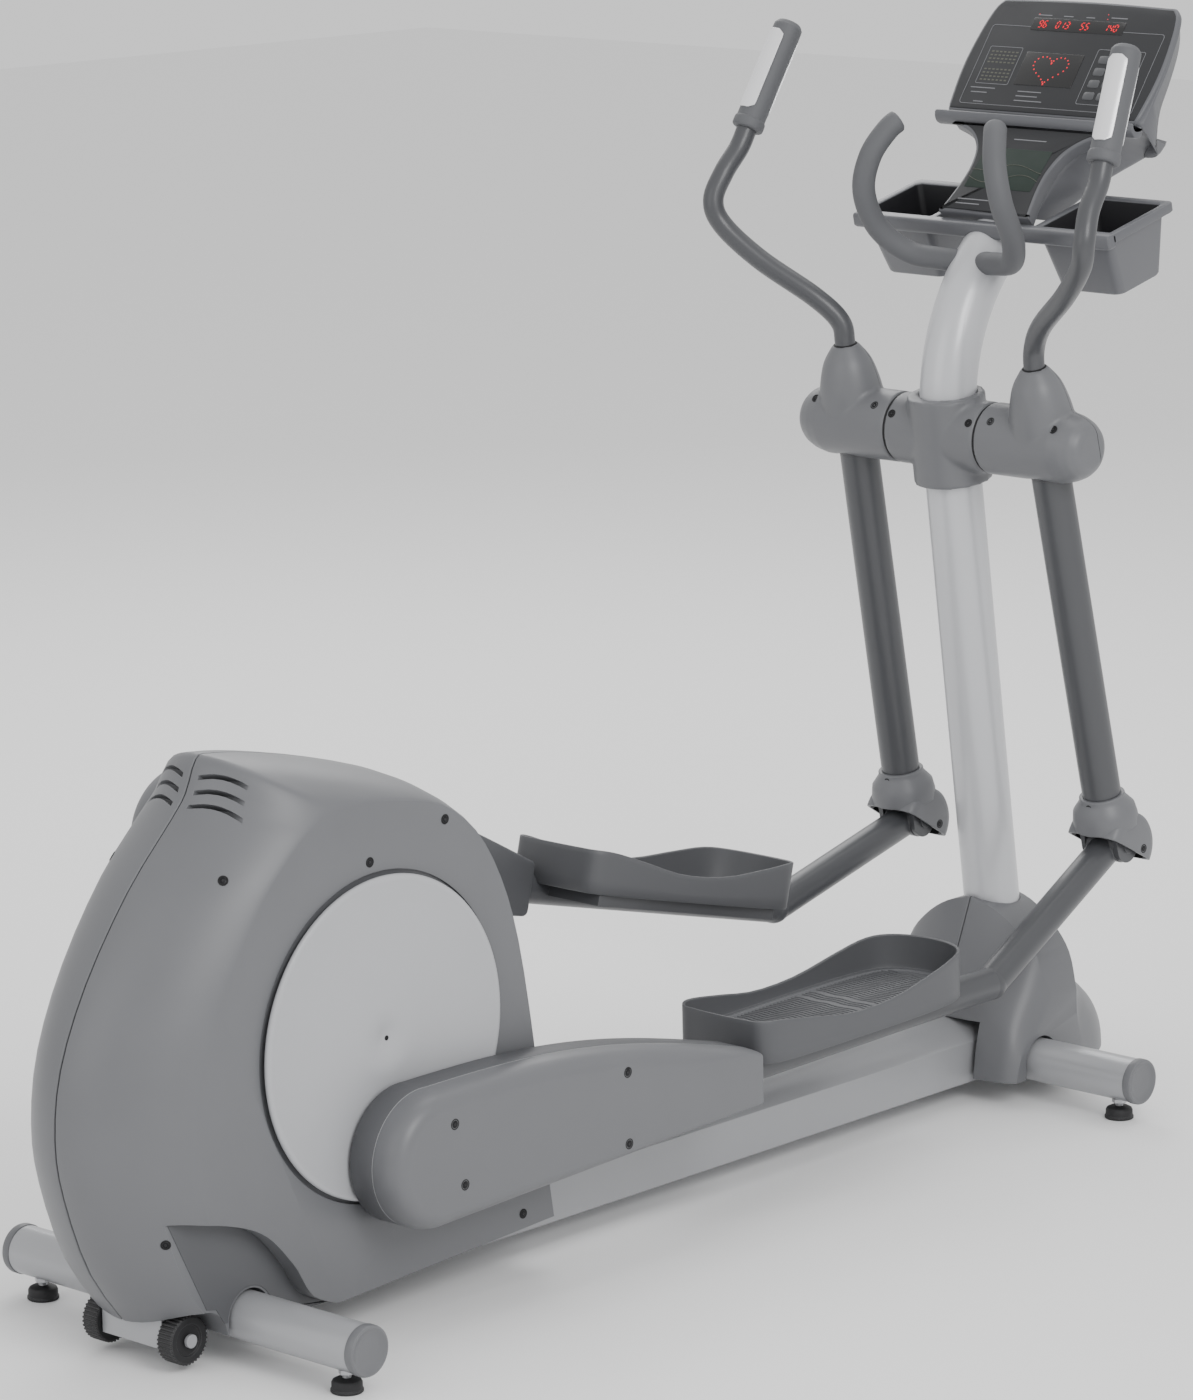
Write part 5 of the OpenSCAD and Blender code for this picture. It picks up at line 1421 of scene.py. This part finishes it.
    def displays(self) -> None:
        """Makes the smoked windows, the lit figures and the dotted heart."""
        self.plate(self.face, rounded_box((-88, 142), (84, 164), 1.5), 1.5, 2.5, "figure_window", WINDOW)
        kit = MeshKit(self.face)
        for text, x in self.digits:
            for place, digit in enumerate(text):
                start = x - (len(text) * self.digit_pitch - 3.2) / 2
                self.figure(kit, digit, start + self.digit_pitch * place, 147.0, 5.4, 11.5)
        self.show(kit.piece("lit_figures"), LAMP, "frame")
        self.plate(self.face, rounded_box((-74, 46), (34, 104), 1.5), 1.5, 2.5, "matrix_window", WINDOW)
        dots = MeshKit(self.face)
        count = 30
        for k in range(count):
            a = 2 * math.pi * k / count
            x = 16 * math.sin(a) ** 3
            y = 13 * math.cos(a) - 5 * math.cos(2 * a) - 2 * math.cos(3 * a) - math.cos(4 * a)
            dots.lathe([(0, 0), (1.35, 0), (1.1, 0.35), (0, 0.45)], (-20 + 2.0 * x, 77 + 1.65 * y, 2.45),
                       (0, 0, 1), 10)
        self.show(dots.piece("heart_lamps"), LAMP, "frame")
        spots = MeshKit(self.face)
        for x, y in ((-82, 170), (44, 176), (46, 168)):
            spots.lathe([(0, 0), (1.2, 0), (0, 0.4)], (x, y, 1.9), (0, 0, 1), 10)
        self.show(spots.piece("status_lamps"), LAMP, "frame")

    def panels(self) -> None:
        """Prints the panel outlines, the chart, the legends and the keypad."""
        w = self.face_size[0] / 2
        self.line_frame(rounded_box((-w + 16, 8), (w - 14, 148), 6), "outer_frame", LEGEND)
        self.line_frame(rounded_box((-146, 44), (-84, 110), 3), "chart_frame", LEGEND)
        self.line_frame(rounded_box((54, 20), (142, 116), 4), "keypad_frame", LEGEND)
        chart = MeshKit(self.face)
        for row in range(9):
            for column in range(7):
                if row == 4:
                    continue
                self.stripe(chart, (-140 + 7.6 * column, 50 + 6.2 * row), (4.6, 2.4), (1.9, 2.12))
        self.show(chart.piece("chart_marks"), CHART, "frame")
        legends = MeshKit(self.face)
        rows = ((-84, 168, 26), (-36, 168, 18), (6, 168, 16), (52, 170, 30), (-150, 36, 46), (-146, 28, 30),
                (-60, 34, 44), (-60, 26, 40), (-60, 18, 52), (-134, 12, 18))
        for x, y, length in rows:
            self.stripe(legends, (x, y), (length, 1.6), (1.9, 2.12))
        self.show(legends.piece("legend_lines"), LEGEND, "frame")
        keys = 0
        for row in range(4):
            for column in range(3):
                x, y = 62 + 25 * column, 28 + 21 * row
                self.plate(self.face, rounded_box((x, y), (x + 20, y + 14), 4, 4), 1.6, 2.9, f"key_{keys}",
                           ARM_COAT, edge=1.0)
                keys += 1

    def ledge(self) -> None:
        """Makes the reading ledge: a rolled lip in front of a trough painted black as shade."""
        half = self.ledge_width / 2
        x, z = self.face_low
        loop = spline([(x - 24, z - 12), (x - 22.5, z - 3.5), (x - 20, z - 1.5), (x - 17, z - 3.0),
                       (x - 15.5, z - 9), (x - 6, z - 10), (x + 2, z - 8), (x + 2, z - 20), (x - 6, z - 25),
                       (x - 18, z - 22)],
                      4, closed=True)
        layers = [(-half, 4.0), (-half + 1.6, 1.2), (-half + 5, 0.0), (half - 5, 0.0), (half - 1.6, 1.2),
                  (half, 4.0)]
        obj = MeshKit(self.datum.machine).across(loop, layers).piece("ledge_moulding", 40)
        self.show(obj, CONSOLE_ABS, "frame", "reading_ledge")
        # Painted shade: a near-black strip stands in for the shadow in the trough
        trough = rounded_box((x - 14.5, z - 9.9), (x + 1, z - 7.9), 0.8, 3)
        dark = MeshKit(self.datum.machine).across(trough, [(-half + 8, 0.0), (half - 8, 0.0)])
        self.show(dark.piece("ledge_mat", 40), SHADOW_GAP, "frame")

    def waist_loop(self, inset: float) -> list[Vector]:
        """The waist panel's outline, with hollow sides."""
        length = self.waist_length
        right = [(84, 0), (79, length * 0.14), (74, length * 0.34), (74, length * 0.54), (84, length * 0.74),
                 (110, length * 0.9), (150, length)]
        loop = spline(right, 5) + [Vector((-p.x, p.y)) for p in reversed(spline(right, 5))]
        return inset_loop(loop, inset) if inset else loop

    def waist_panel(self) -> None:
        """Makes the waist panel with a generic dark green picture of two hill lines."""
        self.plate(self.waist, self.waist_loop(0), -16.0, 3.0, "waist_frame", CONSOLE_ABS, edge=3.0)
        self.plate(self.waist, self.waist_loop(5), 1.0, 4.0, "waist_overlay", OVERLAY, edge=0.6)
        length = self.waist_length
        self.plate(self.waist, rounded_box((-62, length * 0.28), (62, length * 0.74), 2), 3.2, 4.3,
                   "waist_picture", GREEN_PRINT, edge=0.2)
        hills = MeshKit(self.waist)
        for number, (level, rise) in enumerate(((0.40, 9.0), (0.52, 7.0))):
            wave = lambda x: length * level + rise * math.sin(x * 0.05 + number)
            top = [Vector((x, wave(x), 0)) for x in range(-64, 65, 8)]
            for a, b in zip(top, top[1:]):
                hills.tube([a + Vector((0, 0, 4.3)), b + Vector((0, 0, 4.3))], lambda t: 0.5, 6)
        self.show(hills.piece("waist_picture_lines"), CHART, "frame")
        marks = MeshKit(self.waist)
        for x, y, span in ((-60, length * 0.14, 60), (-60, length * 0.09, 44), (-20, length * 0.84, 60)):
            self.stripe(marks, (x, y), (span, 1.8), (3.9, 4.15))
        self.show(marks.piece("waist_legends"), LEGEND, "frame")


# ---- CAD nodes that keep their own shape ----
@dataclass
class Steelwork(SubAssembly):
    """The CAD nodes that are shown as they are, each with its real finish."""

    finishes: dict = field(default_factory=lambda: {
        "base_rail": SILVER_COAT, "rear_stabiliser": SILVER_COAT, "front_stabiliser": SILVER_COAT,
        "wheel_bracket": SILVER_COAT, "foot_lock_nuts": TURNED_STEEL, "drive_frame": ARM_COAT,
        "crank_bearings": TURNED_STEEL, "crank_shaft": TURNED_STEEL, "crank_arms": TURNED_STEEL,
        "drive_pulley": BLACK_NYLON, "intermediate_pulley": BLACK_NYLON, "drive_belts": BELT_RUBBER,
        "alternator_housing": TURNED_STEEL, "flywheel": TURNED_STEEL, "battery": BLACK_NYLON,
        "control_board": BOARD_MASK, "swing_axle": TURNED_STEEL,
        "swing_tube_left": ARM_COAT, "swing_tube_right": ARM_COAT,
        "pedal_arm_left": ARM_COAT, "pedal_arm_right": ARM_COAT})

    def dress(self) -> None:
        """Gives each kept node its material."""
        for node, finish in self.finishes.items():
            mesh = bpy.data.objects[node].data
            mesh.materials.clear()
            mesh.materials.append(self.paint.material(finish))
            LOG.info("%s keeps its shape in %s", node, finish.name)


# ---- Floor, light and camera ----
@dataclass
class Studio:
    """A plain pale room, soft light and the camera."""

    datum: Datum
    camera_at: tuple = (-4569.9, -4919.7, 2261.2)
    yaw: float = 42.534
    pitch: float = 11.901
    roll: float = -0.565
    focal: float = 3.8499               # focal length in frame heights

    def build(self) -> None:
        """Makes the floor, the lights, the world and the camera."""
        self.floor()
        self.world()
        for name, at, size, power in (("key", (-1.6, -4.4, 3.6), 2.4, 150.0),
                                      ("fill", (-4.6, 0.6, 2.4), 3.0, 30.0),
                                      ("rim", (2.8, 3.2, 3.6), 2.6, 70.0),
                                      ("top", (1.8, 0.4, 5.2), 3.0, 60.0)):
            self.light(name, Vector(at), size, power)
        self.camera()

    def floor(self) -> None:
        """Makes a pale floor."""
        loop = [Vector((x, y, 0)) for x, y in ((-14, -14), (14, -14), (14, 14), (-14, 14))]
        kit = MeshKit(lambda p: p)
        kit.skin([[p + Vector((0, 0, -0.02)) for p in loop], loop])
        obj = kit.piece("studio_floor")
        # Matt white vinyl sweep: bright and even, with no gloss
        material = Finish("white_vinyl_sweep", "#f4f4f4", "", 0.9, Relief.PLAIN, shade=0.005,
                          edge=0.0).build()
        obj.data.materials.append(material)

    def world(self) -> None:
        """Makes a bright even surround."""
        world = bpy.data.worlds.new("surround")
        bpy.context.scene.world = world
        world.use_nodes = True
        background = world.node_tree.nodes["Background"]
        background.inputs["Color"].default_value = (1.0, 1.0, 1.0, 1.0)
        background.inputs["Strength"].default_value = 0.95

    def light(self, name: str, at: Vector, size: float, power: float) -> None:
        """Adds a soft square lamp aimed at the machine's middle."""
        data = bpy.data.lights.new(name, "AREA")
        data.size = size
        data.energy = power
        lamp = bpy.data.objects.new(name, data)
        lamp.location = at
        lamp.rotation_euler = (Vector((0, 0, 0.7)) - at).to_track_quat("-Z", "Y").to_euler()
        bpy.context.scene.collection.objects.link(lamp)

    def camera(self) -> None:
        """Sets the camera."""
        yaw, pitch, roll = (math.radians(a) for a in (self.yaw, self.pitch, self.roll))
        ahead = Vector((math.cos(yaw) * math.cos(pitch), math.sin(yaw) * math.cos(pitch), -math.sin(pitch)))
        right = Vector((math.sin(yaw), -math.cos(yaw), 0))
        up = right.cross(ahead)
        right, up = (right * math.cos(roll) + up * math.sin(roll),
                     up * math.cos(roll) - right * math.sin(roll))
        data = bpy.data.cameras.new("camera")
        data.sensor_fit = "VERTICAL"
        data.sensor_height = 36.0
        data.lens = 36.0 * self.focal
        data.clip_end = 100.0
        obj = bpy.data.objects.new("camera", data)
        turn = Matrix((right, up, -ahead)).transposed().to_4x4()
        obj.matrix_world = Matrix.Translation(self.datum.machine(Vector(self.camera_at))) @ turn
        bpy.context.scene.collection.objects.link(obj)
        bpy.context.scene.camera = obj


def main() -> None:
    """Builds the visual model round the frame."""
    logging.basicConfig(level=logging.INFO, format="%(name)s: %(message)s")
    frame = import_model()
    datum = Datum(frame["record"])
    paint = Paintbox()
    Studio(datum).build()
    assemblies = [Steelwork(datum, paint), Base(datum, paint), RearCasing(datum, paint),
                  FrontShroud(datum, paint), Mast(datum, paint), AccessoryTray(datum, paint),
                  Console(datum, paint)]
    for side in Side:
        assemblies += [SwingArm(datum, paint, side=side), PedalArm(datum, paint, side=side)]
    for assembly in assemblies:
        assembly.build()
        assembly.dress()
        LOG.info("%s is done", type(assembly).__name__)


if __name__ == "__main__":
    main()
